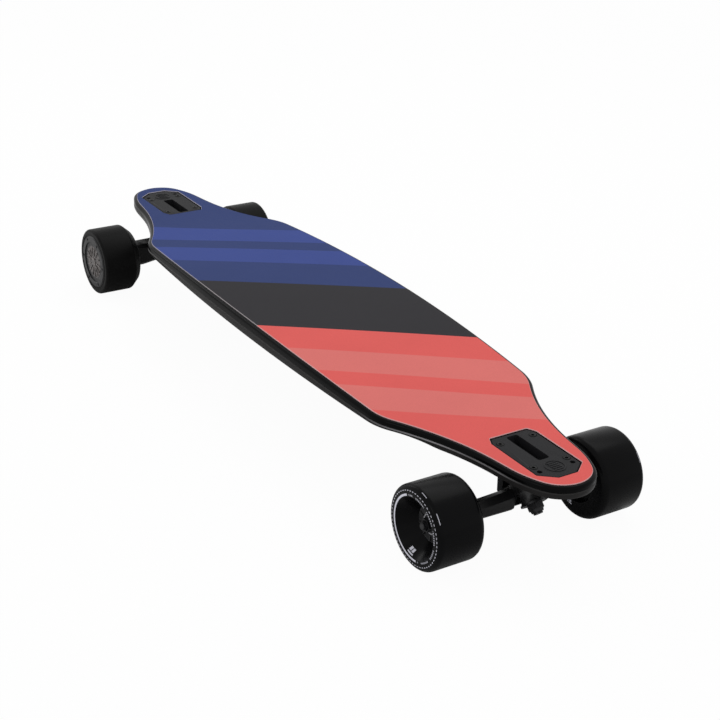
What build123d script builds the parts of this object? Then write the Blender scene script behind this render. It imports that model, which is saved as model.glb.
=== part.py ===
from build123d import *
import math
import os

# Drop-through electric longboard with two hub motors, built as separate pieces.
# Frame: X towards the nose, Y to the left, Z up, origin on the ground under the
# middle of the deck. Millimetres and degrees.

os.makedirs("parts", exist_ok=True)

# --- Running gear -----------------------------------------------------------
WHEEL_RADIUS = 45
WHEEL_WIDTH = 56
TRACK_INNER = 74          # middle of the board to a wheel's inner face
RUNNING_GAP = 0.05        # radial gap of a running fit
PART_GAP = 0.3            # gap between faces that pass each other

# --- Deck -------------------------------------------------------------------
DECK_LENGTH = 976
DECK_WIDTH = 224
AXLE_INSET = 91.5         # from each end of the deck to the axle below it
SHOULDER_INSET = 226      # from each end to where the sides turn in
PLATFORM_INSET = 140      # the truck platforms are flat up to here from each end
BELLY_INSET = 198         # the underside is flat between these
SIDE_BULGE = 9.5          # how much narrower the deck is at its shoulders
SHOULDER_RADIUS = 70
NECK_WIDTH = 98.8         # width of the deck where the wheel cut-outs end
NECK_RADIUS = 300         # hollow of the wheel cut-outs
NECK_ANGLE = 8
FORE_RADIUS = 120         # nose and tail, ahead of their round tips
FORE_ANGLE = 27
TOP_MIDDLE = 115          # height of the grip surface over the ground
TOP_END = 105.5
SEAM_MIDDLE = 104.5       # height of the joint between the two boards
SEAM_END = 97.5
BOTTOM_MIDDLE = 94
BOTTOM_END = 90
CAMBER_TURN = 0.77        # share of the camber's run that curves downwards
GRIP_THICKNESS = 1
GRIP_INSET = 4.5
EDGE_ROUND = 3.5
EDGE_BEVEL = 3
SEAM_GROOVE = 1

# --- Truck ------------------------------------------------------------------
FLANGE_THICKNESS = 5
FLANGE_DROP = 0.8         # the flange lies below the grip
FLANGE_IN = 25.5          # flange ends, from the axle
FLANGE_OUT = 68.5
FLANGE_WIDTH = 55
FLANGE_NARROW = 23        # width of the flange's outer end
FLANGE_CORNER = 1.5
FLANGE_BEVEL = 0.8
FLANGE_GAP = 1.2          # gap round the flange in its recess
PAD_X = 49                # raised ring and ribs on the flange's outer end
PAD_RADIUS = 11
PAD_HEIGHT = 0.5
PAD_RIB = 1.4
PAD_RIBS = 5
PAD_PITCH = 3.2
BOLT_INNER_X = -12.5      # the mount bolts, from the axle
BOLT_OUTER_X = 41.5
BOLT_SPARE_X = 51
BOLT_SPACING = 41.3
BOLT_RADIUS = 2.5
BOLT_CLEARANCE = 0.3
BOLT_HEAD_RADIUS = 4
BOLT_HEAD_HEIGHT = 2.6
BOLT_HEAD_SINK = 2.2
BOLT_HEAD_ROUND = 0.9
BOLT_SOCKET = 1.5
NUT_FLATS = 8
NUT_HEIGHT = 4
SLOT_IN = -21.5           # the slot that shows the kingpin's head
SLOT_OUT = 32.5
SLOT_WIDTH = 14
SLOT_FLOOR = 6            # how far the slot goes below the flange
SLOT_CORNER = 3
SLOT_WELL = 12.5          # deeper part of the slot, over the kingpin's head
SLOT_WELL_DEPTH = 8
BODY_IN = 25.5            # ends of the body below the flange, from the axle
BODY_OUT = 36
BODY_WIDTH = 29
BODY_GAP = 0.8            # gap round the body in the deck's opening
BODY_CORNER = 1
BODY_SKIRT = 2            # how far the body reaches below the deck at its outer end
CHEEK_DROP = 14           # the wide body ends this far below the deck over the tower
KINGPIN_ANGLE = 45        # slope of the kingpin, and of the steering axis
RING_X = 10               # centre of the hanger's ring, from the axle
RING_Z = 18
RING_HALF = 6
RING_RADIUS = 18
RING_BORE = 8.2
KINGPIN_RADIUS = 5
KINGPIN_HEAD = 6
KINGPIN_FLATS = 15
KINGPIN_SOCKET = 3.5
KINGPIN_WELL = 9.2        # radius and depth of the pocket round the kingpin's head
KINGPIN_WELL_DEPTH = 9
SEAT_WALL = 7             # metal between the washer and the kingpin's head
SEAT_BROW = 16            # the seat's outer corner, along the steering axis
BUSHING_RADIUS = 13.5
BUSHING_WAIST = 11.8
BOARD_BUSHING = 14
ROAD_BUSHING = 12
BUSHING_WASHER = 2
WASHER_LIP = 0.8          # the washers are this much wider than the bushings
KINGPIN_NUT = 9
NUT_COLLAR = 3            # locking collar of the kingpin's nut
KINGPIN_TAIL = 2
NOSE_RADIUS = 5.5         # the hanger's pivot
NOSE_REACH = 34.5
CUP_MOUTH = 28
CUP_WALL = 2
CUP_FLOOR = 2
TOWER_RADIUS = 10
TOWER_END = 39
TOWER_WIDTH = 20
AXLE_RADIUS = 4
ARM_ROOT_Y = 16
ARM_ROOT_OUTBOARD = 12    # the arms' root, outboard, inboard and below the axle
ARM_ROOT_INBOARD = 11
ARM_ROOT_DROP = 7.5
ARM_ROOT_BEVEL = 4
ARM_TIP_FLATS = 19
ARM_TIP_BEVEL = 5.5
ARM_COLLAR = 12           # round end of the front arms
ARM_COLLAR_RADIUS = 9
HUB_RADIUS = 8            # metal round the axle beside the pivot
MOTOR_ARM_WIDTH = 26      # end of the rear arms beside the motors
MOTOR_ARM_HEIGHT = 30
MOTOR_ARM_RISE = 2
MOTOR_ARM_BEVEL = 4
MOTOR_ARM_COLLAR = 14
BUSHING_ROOM = 2          # the hanger keeps this far from the bushings

# --- Front wheels -----------------------------------------------------------
LIP_ROUND = 8
DISH_DEPTH = 19
DISH_RADIUS = 33
DISH_FLARE = 3            # how the dish opens round the core
DISH_STEP = 4
INNER_DISH_DEPTH = 8
INNER_DISH_RADIUS = 26
CORE_RADIUS = 19
CORE_RIBS = 9
RIB_WIDTH = 2
RIB_HEIGHT = 1.5
BEARING_RADIUS = 11
BEARING_WIDTH = 7
BEARING_RACE = 6          # outer radius of the inner ring
BEARING_SHOULDER = 1.5    # step that stops the outer ring
SHIELD_DEPTH = 0.4
SPACER_RADIUS = 5.5
WASHER_THICKNESS = 1
WASHER_RADIUS = 6
AXLE_NUT_FLATS = 13
AXLE_NUT_HEIGHT = 7
AXLE_TAIL = 2
AXLE_BEVEL = 0.8

# --- Hub motors -------------------------------------------------------------
MOTOR_INNER = 73          # middle of the board to a motor's inner face
MOTOR_WIDTH = 57
SLEEVE_THICKNESS = 9
SLEEVE_START = 3          # the sleeve's inner end, from the motor's inner face
SLEEVE_SHORT = 1          # the cap stands proud of the sleeve's outer end
SLEEVE_TAPER = 9          # length of the slope at the sleeve's inner end
SLEEVE_LIP = 1            # its thickness there
SLEEVE_ROUND = 4
SHAFT_RADIUS = 6
CAN_WALL = 2.5
CAN_PLATE = 5
CAN_STEP = 3              # the can's inner face is this much narrower
CAN_STEP_LENGTH = 2
CAN_BEVEL = 1.5
MAGNET_THICKNESS = 2.5
MAGNET_LENGTH = 28
MAGNET_COUNT = 14
AIR_GAP = 0.8
STATOR_LENGTH = 34
STATOR_TEETH = 12
STATOR_HUB = 13
COIL_WALL = 0.8
TOOTH_WIDTH = 4
TOOTH_TIP = 3
MOTOR_BEARING_RADIUS = 14
MOTOR_BEARING_WIDTH = 7
MOTOR_BEARING_LIP = 2
MOTOR_BEARING_SINK = 1    # how far each bearing sits in from the plate's face
CAP_THICKNESS = 4
CAP_BEVEL = 1.5
CAP_DISH_RADIUS = 28      # shallow recess in the cap
CAP_DISH_DEPTH = 1.4
CAP_FINS = 14
CAP_FIN_INNER = 9
CAP_FIN_OUTER = 21
CAP_FIN_WIDTH = 1.8
CAP_FIN_HEIGHT = 1
CAP_BOSS = 6
CAP_SCREWS = 6
CAP_SCREW_RADIUS = 1.5
CAP_SCREW_CIRCLE = 31.8
CAP_SCREW_HEAD = 2.3
CAP_SCREW_SINK = 1.5
CAP_SCREW_DEPTH = 6
CAP_SCREW_BOSS = 3.5

# --- Electronics ------------------------------------------------------------
BAY_INSET = 266           # from each end of the deck to the bay
BAY_WIDTH = 156
BAY_CORNER = 14
BAY_ROOF = 106.5
COVER_LIP = 11            # how far the cover reaches past the bay
COVER_THICKNESS = 2.5
COVER_GAP = 0.5
WINDOW_CORNER = 3
GASKET = 0.8
GASKET_TRIM = 0.5
SCREW_RADIUS = 1.5
SCREW_HEAD = 3
SCREW_LENGTH = 6.5
SCREWS_LONG = 6
SCREWS_ACROSS = 3
TRAY_WALL = 1
TRAY_GAP = 17             # from the bay's front wall to the tray
TRAY_SIDE_GAP = 5.5
CELL_THICKNESS = 7.4
CELL_GAP = 1
CELL_COLUMNS = 6
CELL_ROWS = 2
BOARD_THICKNESS = 1.6
BMS_LENGTH = 20
BMS_WIDTH = 110
CONTROLLER_LENGTH = 120
CONTROLLER_WIDTH = 84
CONTROLLER_GAP = 12       # from the bay's rear wall to the controller
WIRING_GAP = 30           # room for plugs between controller and battery board
SINK_MARGIN = 8
SINK_BASE = 2
FIN_COUNT = 9
FIN_THICKNESS = 3
PORT_INSET = 216          # from the tail to the charge port and the button
PORT_Y = 24
PORT_RADIUS = 8
PORT_FLANGE = 11
PORT_BORE = 3.2
PORT_DEPTH = 9
PORT_LIP = 1
PORT_PIN = 1.1
PORT_TAB = 8.8            # half length of the hinge tab
PORT_NOTCH = 5.5          # half length of the gap for the cap's knuckle
CAP_PLATE = 1.6
CAP_KNUCKLE = 4.4
HINGE_PIN = 1
HINGE_EAR = 2.2
BUTTON_RADIUS = 7
BUTTON_RIM = 11
BUTTON_BARREL = 9
BUTTON_ROUND = 0.6
BUTTON_FLOOR = 3
BUTTON_TRAVEL = 1
BUTTON_PROUD = 1.5
LIGHT_WIDTH = 1.2
LIGHT_INSET = 1
GLAND_INSET = 208
GLAND_RADIUS = 5
GLAND_NECK = 4
GLAND_TIP = 2
GLAND_TAPER = 6
GLAND_BORE = 2.4
GLAND_HEIGHT = 7

# --- Worked out from the sizes above -----------------------------------------
HALF = DECK_LENGTH / 2
AXLE_X = HALF - AXLE_INSET
SHOULDER_X = HALF - SHOULDER_INSET
PLATFORM_X = HALF - PLATFORM_INSET
BELLY_X = HALF - BELLY_INSET
BAY_FRONT = HALF - BAY_INSET
BAY_REAR = -BAY_FRONT
PORT_X = PORT_INSET - HALF
GLAND_X = GLAND_INSET - HALF
AXLE_Z = WHEEL_RADIUS
TRACK_OUTER = TRACK_INNER + WHEEL_WIDTH
BEARING_OUTER_Y = TRACK_OUTER - DISH_DEPTH
CORE_INNER_Y = TRACK_INNER + INNER_DISH_DEPTH
ARM_TIP_Y = CORE_INNER_Y - WASHER_THICKNESS
FLANGE_TOP = TOP_END - FLANGE_DROP
FLANGE_SEAT = FLANGE_TOP - FLANGE_THICKNESS
SINE = math.sin(math.radians(KINGPIN_ANGLE))
COSINE = math.cos(math.radians(KINGPIN_ANGLE))


def write(name, piece):
    """Label a finished piece and write it to its own file."""
    piece.label = name
    export_step(piece, f"parts/{name}.step")


# --- Deck outline and camber --------------------------------------------------
def deck_outline(inset=0):
    """Plan outline of the deck, moved in by inset: tangent arcs for one quarter, mirrored."""
    side_radius = (SHOULDER_X**2 + SIDE_BULGE**2) / (2 * SIDE_BULGE)
    side_angle = math.degrees(math.asin(SHOULDER_X / side_radius))
    # the shoulder turns as far as the neck's width asks
    fall, steep = math.radians(NECK_ANGLE), math.radians(FORE_ANGLE)
    waist = (DECK_WIDTH - NECK_WIDTH) / 2 - SIDE_BULGE
    shoulder_angle = math.degrees(math.acos(
        (SHOULDER_RADIUS * math.cos(math.radians(side_angle)) + NECK_RADIUS * math.cos(fall) - waist)
        / (SHOULDER_RADIUS + NECK_RADIUS)
    ))
    # the straight run between neck and nose is what gives the deck its length
    tip_share = (1 - math.sin(steep)) / math.cos(steep)
    with BuildSketch() as plan:
        with BuildLine():
            side = JernArc((0, DECK_WIDTH / 2 - inset), (1, 0), side_radius - inset, -side_angle)
            shoulder = JernArc(
                side @ 1, side % 1, SHOULDER_RADIUS - inset, side_angle - shoulder_angle
            )
            neck = JernArc(
                shoulder @ 1, shoulder % 1, NECK_RADIUS + inset, shoulder_angle - NECK_ANGLE
            )
            fore_x = (FORE_RADIUS - inset) * (math.sin(steep) - math.sin(fall))
            fore_y = (FORE_RADIUS - inset) * (math.cos(fall) - math.cos(steep))
            start = neck @ 1
            reach = start.X + fore_x + (start.Y - fore_y) * tip_share
            run_length = (HALF - inset - reach) / (math.cos(fall) - math.sin(fall) * tip_share)
            run = Line(start, start + (neck % 1) * run_length)
            fore = JernArc(run @ 1, run % 1, FORE_RADIUS - inset, NECK_ANGLE - FORE_ANGLE)
            tip_radius = (fore @ 1).Y / math.cos(steep)
            JernArc(fore @ 1, fore % 1, tip_radius, FORE_ANGLE - 90)
            mirror(about=Plane.YZ)
            mirror(about=Plane.XZ)
        make_face()
    return plan.sketch


def camber(middle, end, flat_x=0):
    """Side view of a cambered face, from the middle of the deck out past its nose."""
    turn = flat_x + CAMBER_TURN * (PLATFORM_X - flat_x)
    with BuildLine() as face:
        if flat_x:
            Line((0, middle), (flat_x, middle))
        crown = TangentArc(
            (flat_x, middle), (turn, middle + CAMBER_TURN * (end - middle)), tangent=(1, 0)
        )
        TangentArc(crown @ 1, (PLATFORM_X, end), tangent=crown % 1)
        Line((PLATFORM_X, end), (DECK_LENGTH, end))
    return face.line


def slab(top, bottom, inset=0):
    """Layer of the deck between two cambered faces, cut to the deck's outline."""
    top_line = camber(*top)
    bottom_line = camber(*bottom)
    plan = deck_outline(inset)
    with BuildPart() as layer:
        with BuildSketch(Plane.XZ):
            with BuildLine():
                add(top_line)
                add(bottom_line)
                Line((DECK_LENGTH, top[1]), (DECK_LENGTH, bottom[1]))
                mirror(about=Plane.YZ)
            make_face()
        extrude(amount=DECK_WIDTH, both=True)
        with BuildSketch():
            add(plan)
        extrude(amount=2 * top[0], mode=Mode.INTERSECT)
    return layer.part


def rim(board, upwards):
    """Edges where a layer's side meets its top, or its underside."""
    sides = board.faces().filter_by(lambda face: abs(face.normal_at().Z) < 0.05)
    skins = board.faces().filter_by(lambda face: face.normal_at().Z * upwards > 0.5)
    side_edges = sides.edges()
    return skins.edges().filter_by(lambda edge: any(edge.is_same(other) for other in side_edges))


GRIP = (TOP_MIDDLE, TOP_END)
BOARD_TOP = (TOP_MIDDLE - GRIP_THICKNESS, TOP_END - GRIP_THICKNESS)
SEAM = (SEAM_MIDDLE, SEAM_END)
BOTTOM = (BOTTOM_MIDDLE, BOTTOM_END, BELLY_X)


def end_planes(height):
    """A plane over each axle, its X pointing away from the middle of the board."""
    return [
        Plane((AXLE_X, 0, height)),
        Plane((-AXLE_X, 0, height), x_dir=(-1, 0, 0)),
    ]


def flange_outline(grow=0):
    """Outline of the truck's flange in its own plane, moved out by grow."""
    half, narrow = FLANGE_WIDTH / 2, FLANGE_NARROW / 2
    taper = half - narrow
    corner = (FLANGE_WIDTH - BOLT_SPACING) / 3
    with BuildSketch() as outline:
        with BuildLine():
            Polyline(
                (-FLANGE_IN, 0),
                (-FLANGE_IN, half - corner),
                (corner * 2 - FLANGE_IN, half),
                (FLANGE_OUT - taper * 0.8, half),
                (FLANGE_OUT, narrow),
                (FLANGE_OUT, 0),
            )
            mirror(about=Plane.XZ)
        make_face()
        fillet(outline.vertices(), FLANGE_CORNER)
        if grow:
            offset(amount=grow)
    return outline.sketch


def body_outline(grow=0):
    """Opening in the deck for the truck's body, moved out by grow."""
    with BuildSketch() as outline:
        with Locations(((BODY_OUT - BODY_IN) / 2, 0)):
            RectangleRounded(
                BODY_OUT + BODY_IN + 2 * grow, BODY_WIDTH + 2 * grow, BODY_CORNER + grow
            )
    return outline.sketch


recess_outline = flange_outline(FLANGE_GAP)
opening_outline = body_outline(BODY_GAP)
bolt_points = [
    (x, y * BOLT_SPACING / 2) for x in (BOLT_INNER_X, BOLT_OUTER_X) for y in (-1, 1)
]
spare_points = [(BOLT_SPARE_X, y * BOLT_SPACING / 2) for y in (-1, 1)]

# grip tape: one sheet over the whole top, open round the trucks
grip_sheet = slab(GRIP, BOARD_TOP, GRIP_INSET)
with BuildPart() as grip_tape:
    add(grip_sheet)
    for over_axle in end_planes(BOARD_TOP[1] - GRIP_THICKNESS):
        with BuildSketch(over_axle):
            add(recess_outline)
        extrude(amount=3 * GRIP_THICKNESS, mode=Mode.SUBTRACT)
write("grip_tape", grip_tape.part)

# upper board: rounded top edge, truck recesses, and the roof of the electronics bay
upper_blank = slab(BOARD_TOP, SEAM)
with BuildPart() as deck_upper_board:
    add(upper_blank)
    fillet(rim(deck_upper_board.part, 1), EDGE_ROUND)
    chamfer(rim(deck_upper_board.part, -1), SEAM_GROOVE)
    for flange_seat in end_planes(FLANGE_SEAT):
        with BuildSketch(flange_seat):
            add(recess_outline)
        extrude(amount=TOP_MIDDLE - FLANGE_SEAT, mode=Mode.SUBTRACT)
        with BuildSketch(flange_seat):
            add(opening_outline)
            with Locations(bolt_points + spare_points):
                Circle(BOLT_RADIUS + BOLT_CLEARANCE)
        extrude(amount=BOTTOM_END - TOP_MIDDLE, mode=Mode.SUBTRACT)
    with BuildSketch(Plane.XY.offset(BAY_ROOF)):
        with Locations(((BAY_FRONT + BAY_REAR) / 2, 0)):
            RectangleRounded(BAY_FRONT - BAY_REAR, BAY_WIDTH, BAY_CORNER)
    extrude(amount=BOTTOM_END - BAY_ROOF, mode=Mode.SUBTRACT)
    with BuildSketch(Plane.XY.offset(BOTTOM_MIDDLE)):
        with Locations((PORT_X, PORT_Y)):
            Circle(PORT_RADIUS + RUNNING_GAP)
        with Locations((PORT_X, -PORT_Y)):
            Circle(BUTTON_BARREL + RUNNING_GAP)
        with Locations((GLAND_X, 0)):
            Circle(GLAND_NECK + RUNNING_GAP)
    extrude(amount=PORT_DEPTH, mode=Mode.SUBTRACT)
write("deck_upper_board", deck_upper_board.part)

# lower board: the electronics bay with its ledge, and the pockets for nuts and ports
COVER_TOP = BOTTOM_MIDDLE + COVER_THICKNESS
LEDGE = COVER_TOP + GASKET
COVER_LENGTH = BAY_FRONT - BAY_REAR + 2 * COVER_LIP
COVER_WIDTH = BAY_WIDTH + 2 * COVER_LIP
BAY_MIDDLE = (BAY_FRONT + BAY_REAR) / 2
SCREW_LINE_X = COVER_LENGTH / 2 - COVER_LIP / 2
SCREW_LINE_Y = COVER_WIDTH / 2 - COVER_LIP / 2


def spaced(count, half):
    """Even places from one end of a line to the other."""
    return [half * (2 * i / (count - 1) - 1) for i in range(count)]


screw_points = [
    (BAY_MIDDLE + x, side * SCREW_LINE_Y)
    for x in spaced(SCREWS_LONG, SCREW_LINE_X - BAY_CORNER) for side in (-1, 1)
] + [
    (BAY_MIDDLE + end * SCREW_LINE_X, y)
    for y in spaced(SCREWS_ACROSS, SCREW_LINE_Y - BAY_CORNER) for end in (-1, 1)
]
lower_blank = slab(SEAM, BOTTOM)
with BuildPart() as deck_lower_board:
    add(lower_blank)
    chamfer(rim(deck_lower_board.part, 1), SEAM_GROOVE)
    chamfer(rim(deck_lower_board.part, -1), EDGE_BEVEL)
    for underside in end_planes(BOTTOM_END):
        with BuildSketch(underside):
            add(opening_outline)
            with Locations(bolt_points + spare_points):
                Circle(BOLT_RADIUS + BOLT_CLEARANCE)
        extrude(amount=TOP_MIDDLE - BOTTOM_END, mode=Mode.SUBTRACT)
        with BuildSketch(underside):
            with Locations(bolt_points):
                Circle(NUT_FLATS / math.sqrt(3) + BOLT_CLEARANCE)
        extrude(amount=NUT_HEIGHT, mode=Mode.SUBTRACT)
    with BuildSketch(Plane.XY.offset(BOTTOM_MIDDLE)):
        with Locations((BAY_MIDDLE, 0)):
            RectangleRounded(BAY_FRONT - BAY_REAR, BAY_WIDTH, BAY_CORNER)
    extrude(amount=TOP_MIDDLE - BOTTOM_MIDDLE, mode=Mode.SUBTRACT)
    with BuildSketch(Plane.XY.offset(BOTTOM_MIDDLE)):
        with Locations((BAY_MIDDLE, 0)):
            RectangleRounded(
                COVER_LENGTH + 2 * COVER_GAP, COVER_WIDTH + 2 * COVER_GAP, BAY_CORNER + COVER_GAP
            )
    extrude(amount=LEDGE - BOTTOM_MIDDLE, mode=Mode.SUBTRACT)
    with BuildSketch(Plane.XY.offset(LEDGE)):
        with Locations(screw_points):
            Circle(SCREW_RADIUS + RUNNING_GAP)
    extrude(amount=SCREW_LENGTH - COVER_THICKNESS, mode=Mode.SUBTRACT)
    with BuildSketch(Plane.XY.offset(BOTTOM_MIDDLE)):
        with Locations((PORT_X, PORT_Y)):
            Circle(PORT_RADIUS + RUNNING_GAP)
        with Locations((PORT_X, -PORT_Y)):
            Circle(BUTTON_BARREL + RUNNING_GAP)
        with Locations((GLAND_X, 0)):
            Circle(GLAND_NECK + RUNNING_GAP)
    extrude(amount=PORT_DEPTH, mode=Mode.SUBTRACT)
write("deck_lower_board", deck_lower_board.part)

# --- Underside cover ------------------------------------------------------------
CONTROLLER_X = BAY_REAR + CONTROLLER_GAP + CONTROLLER_LENGTH / 2
WINDOW_LENGTH = CONTROLLER_LENGTH - 2 * SINK_MARGIN
WINDOW_WIDTH = CONTROLLER_WIDTH - 2 * SINK_MARGIN
with BuildPart() as underside_cover:
    with BuildSketch(Plane.XY.offset(BOTTOM_MIDDLE)):
        with Locations((BAY_MIDDLE, 0)):
            RectangleRounded(COVER_LENGTH, COVER_WIDTH, BAY_CORNER)
        with Locations((CONTROLLER_X, 0)):
            RectangleRounded(
                WINDOW_LENGTH + 2 * COVER_GAP,
                WINDOW_WIDTH + 2 * COVER_GAP,
                WINDOW_CORNER,
                mode=Mode.SUBTRACT,
            )
    extrude(amount=COVER_THICKNESS)
    with Locations(Plane.XY.offset(BOTTOM_MIDDLE)):
        with Locations(*[Location((x, y, 0), (180, 0, 0)) for x, y in screw_points]):
            CounterSinkHole(
                SCREW_RADIUS + RUNNING_GAP, SCREW_HEAD + RUNNING_GAP, COVER_THICKNESS, 90
            )
write("underside_cover", underside_cover.part)

with BuildPart() as cover_gasket:
    with BuildSketch(Plane.XY.offset(COVER_TOP)):
        with Locations((BAY_MIDDLE, 0)):
            RectangleRounded(
                COVER_LENGTH - 2 * GASKET_TRIM, COVER_WIDTH - 2 * GASKET_TRIM, BAY_CORNER
            )
            RectangleRounded(
                BAY_FRONT - BAY_REAR, BAY_WIDTH, BAY_CORNER, mode=Mode.SUBTRACT
            )
        with Locations(screw_points):
            Circle(SCREW_RADIUS + 2 * RUNNING_GAP, mode=Mode.SUBTRACT)
    extrude(amount=GASKET)
write("cover_gasket", cover_gasket.part)

with BuildPart() as cover_screws:
    with Locations([(x, y, BOTTOM_MIDDLE) for x, y in screw_points]):
        Cone(SCREW_HEAD, SCREW_RADIUS, SCREW_HEAD - SCREW_RADIUS,
             align=(Align.CENTER, Align.CENTER, Align.MIN))
        Cylinder(SCREW_RADIUS, SCREW_LENGTH, align=(Align.CENTER, Align.CENTER, Align.MIN))
write("cover_screws", cover_screws.part)

# --- Battery and electronics ----------------------------------------------------
BMS_X = CONTROLLER_X + (CONTROLLER_LENGTH + BMS_LENGTH) / 2 + WIRING_GAP
TRAY_REAR = BMS_X + BMS_LENGTH / 2 + 2 * CELL_GAP
TRAY_FRONT = BAY_FRONT - TRAY_GAP
TRAY_WIDTH = BAY_WIDTH - 2 * TRAY_SIDE_GAP
CELL_LENGTH = (TRAY_FRONT - TRAY_REAR - 2 * TRAY_WALL - CELL_GAP) / CELL_COLUMNS - CELL_GAP
CELL_WIDTH = (TRAY_WIDTH - 2 * TRAY_WALL - CELL_GAP) / CELL_ROWS - CELL_GAP
TRAY_MIDDLE = (TRAY_FRONT + TRAY_REAR) / 2
TRAY_HEIGHT = CELL_THICKNESS + TRAY_WALL
with BuildPart() as battery_tray:
    with BuildSketch(Plane.XY.offset(BAY_ROOF - TRAY_HEIGHT)):
        with Locations((TRAY_MIDDLE, 0)):
            RectangleRounded(TRAY_FRONT - TRAY_REAR, TRAY_WIDTH, 2 * TRAY_WALL)
    extrude(amount=TRAY_HEIGHT)
    with BuildSketch(Plane.XY.offset(BAY_ROOF - TRAY_WALL)):
        with Locations((TRAY_MIDDLE, 0)):
            Rectangle(TRAY_FRONT - TRAY_REAR - 2 * TRAY_WALL, TRAY_WIDTH - 2 * TRAY_WALL)
    extrude(amount=-CELL_THICKNESS, mode=Mode.SUBTRACT)
write("battery_tray", battery_tray.part)

with BuildPart() as battery_cells:
    with BuildSketch(Plane.XY.offset(BAY_ROOF - TRAY_HEIGHT)):
        with Locations((TRAY_MIDDLE, 0)):
            with GridLocations(
                CELL_LENGTH + CELL_GAP, CELL_WIDTH + CELL_GAP, CELL_COLUMNS, CELL_ROWS
            ):
                Rectangle(CELL_LENGTH, CELL_WIDTH)
    extrude(amount=CELL_THICKNESS)
write("battery_cells", battery_cells.part)

with BuildPart() as battery_board:
    with BuildSketch(Plane.XY.offset(BAY_ROOF)):
        with Locations((BMS_X, 0)):
            Rectangle(BMS_LENGTH, BMS_WIDTH)
    extrude(amount=-BOARD_THICKNESS)
    with BuildSketch(Plane.XY.offset(BAY_ROOF - BOARD_THICKNESS)):
        with Locations((BMS_X, 0)):
            with GridLocations(BMS_LENGTH / 2, BMS_WIDTH / 6, 1, 6):
                Rectangle(BMS_LENGTH / 2, BMS_WIDTH / 12)
    extrude(amount=-2 * BOARD_THICKNESS)
write("battery_board", battery_board.part)

with BuildPart() as controller_heat_sink:
    with BuildSketch(Plane.XY.offset(COVER_TOP)):
        with Locations((CONTROLLER_X, 0)):
            RectangleRounded(CONTROLLER_LENGTH, CONTROLLER_WIDTH, 2)
    extrude(amount=SINK_BASE)
    with BuildSketch(Plane.XY.offset(COVER_TOP)):
        with Locations((CONTROLLER_X, 0)):
            with GridLocations(0, (WINDOW_WIDTH - FIN_THICKNESS) / (FIN_COUNT - 1), 1, FIN_COUNT):
                Rectangle(WINDOW_LENGTH - 2 * FIN_THICKNESS, FIN_THICKNESS)
    extrude(amount=-COVER_THICKNESS)
write("controller_heat_sink", controller_heat_sink.part)

with BuildPart() as motor_controller:
    with BuildSketch(Plane.XY.offset(COVER_TOP + SINK_BASE)):
        with Locations((CONTROLLER_X, 0)):
            RectangleRounded(CONTROLLER_LENGTH - SINK_MARGIN, CONTROLLER_WIDTH - SINK_MARGIN, 3)
    extrude(amount=BAY_ROOF - COVER_TOP - SINK_BASE)
    chamfer(motor_controller.faces().sort_by(Axis.Z)[-1].edges(), 1)
write("motor_controller", motor_controller.part)

# --- Charge port, power button, lights, cable gland -------------------------------
UNDER = BOTTOM_MIDDLE
with BuildPart() as charge_port:
    with BuildSketch(Plane.XY.offset(UNDER)):
        with Locations((PORT_X, PORT_Y)):
            Circle(PORT_RADIUS)
    extrude(amount=PORT_DEPTH)
    with BuildSketch(Plane.XY.offset(UNDER)):
        with Locations((PORT_X, PORT_Y)):
            Circle(PORT_FLANGE)
    extrude(amount=-PORT_LIP)
    with BuildSketch(Plane.XY.offset(UNDER - PORT_LIP)):
        with Locations((PORT_X, PORT_Y)):
            Circle(PORT_BORE)
            Circle(PORT_PIN, mode=Mode.SUBTRACT)
    extrude(amount=PORT_DEPTH - PORT_LIP, mode=Mode.SUBTRACT)
    # tabs and ears that hold the cap's hinge pin
    with BuildSketch(Plane.XY.offset(UNDER)):
        with Locations((PORT_X, PORT_Y + PORT_FLANGE / 2 + HINGE_EAR)):
            Rectangle(2 * PORT_TAB, PORT_FLANGE + 2 * HINGE_EAR)
    extrude(amount=-PORT_LIP)
    with BuildSketch(Plane.YZ.offset(PORT_X)):
        with Locations((PORT_Y + PORT_FLANGE + HINGE_EAR, UNDER - HINGE_EAR)):
            Circle(HINGE_EAR)
            Rectangle(2 * HINGE_EAR, HINGE_EAR, align=(Align.CENTER, Align.MIN))
    extrude(amount=PORT_TAB, both=True)
    with BuildSketch(Plane.YZ.offset(PORT_X)):
        with Locations((PORT_Y + PORT_FLANGE + HINGE_EAR, UNDER - HINGE_EAR)):
            Rectangle(3 * HINGE_EAR, 3 * HINGE_EAR)
    extrude(amount=PORT_NOTCH, both=True, mode=Mode.SUBTRACT)
    with BuildSketch(Plane.XY.offset(UNDER)):
        with Locations((PORT_X, PORT_Y)):
            Circle(PORT_FLANGE)
            Circle(PORT_BORE, mode=Mode.SUBTRACT)
    extrude(amount=-PORT_LIP)
    with BuildSketch(Plane.YZ.offset(PORT_X)):
        with Locations((PORT_Y + PORT_FLANGE + HINGE_EAR, UNDER - HINGE_EAR)):
            Circle(HINGE_PIN)
    extrude(amount=PORT_TAB, both=True)
write("charge_port", charge_port.part)

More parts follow.
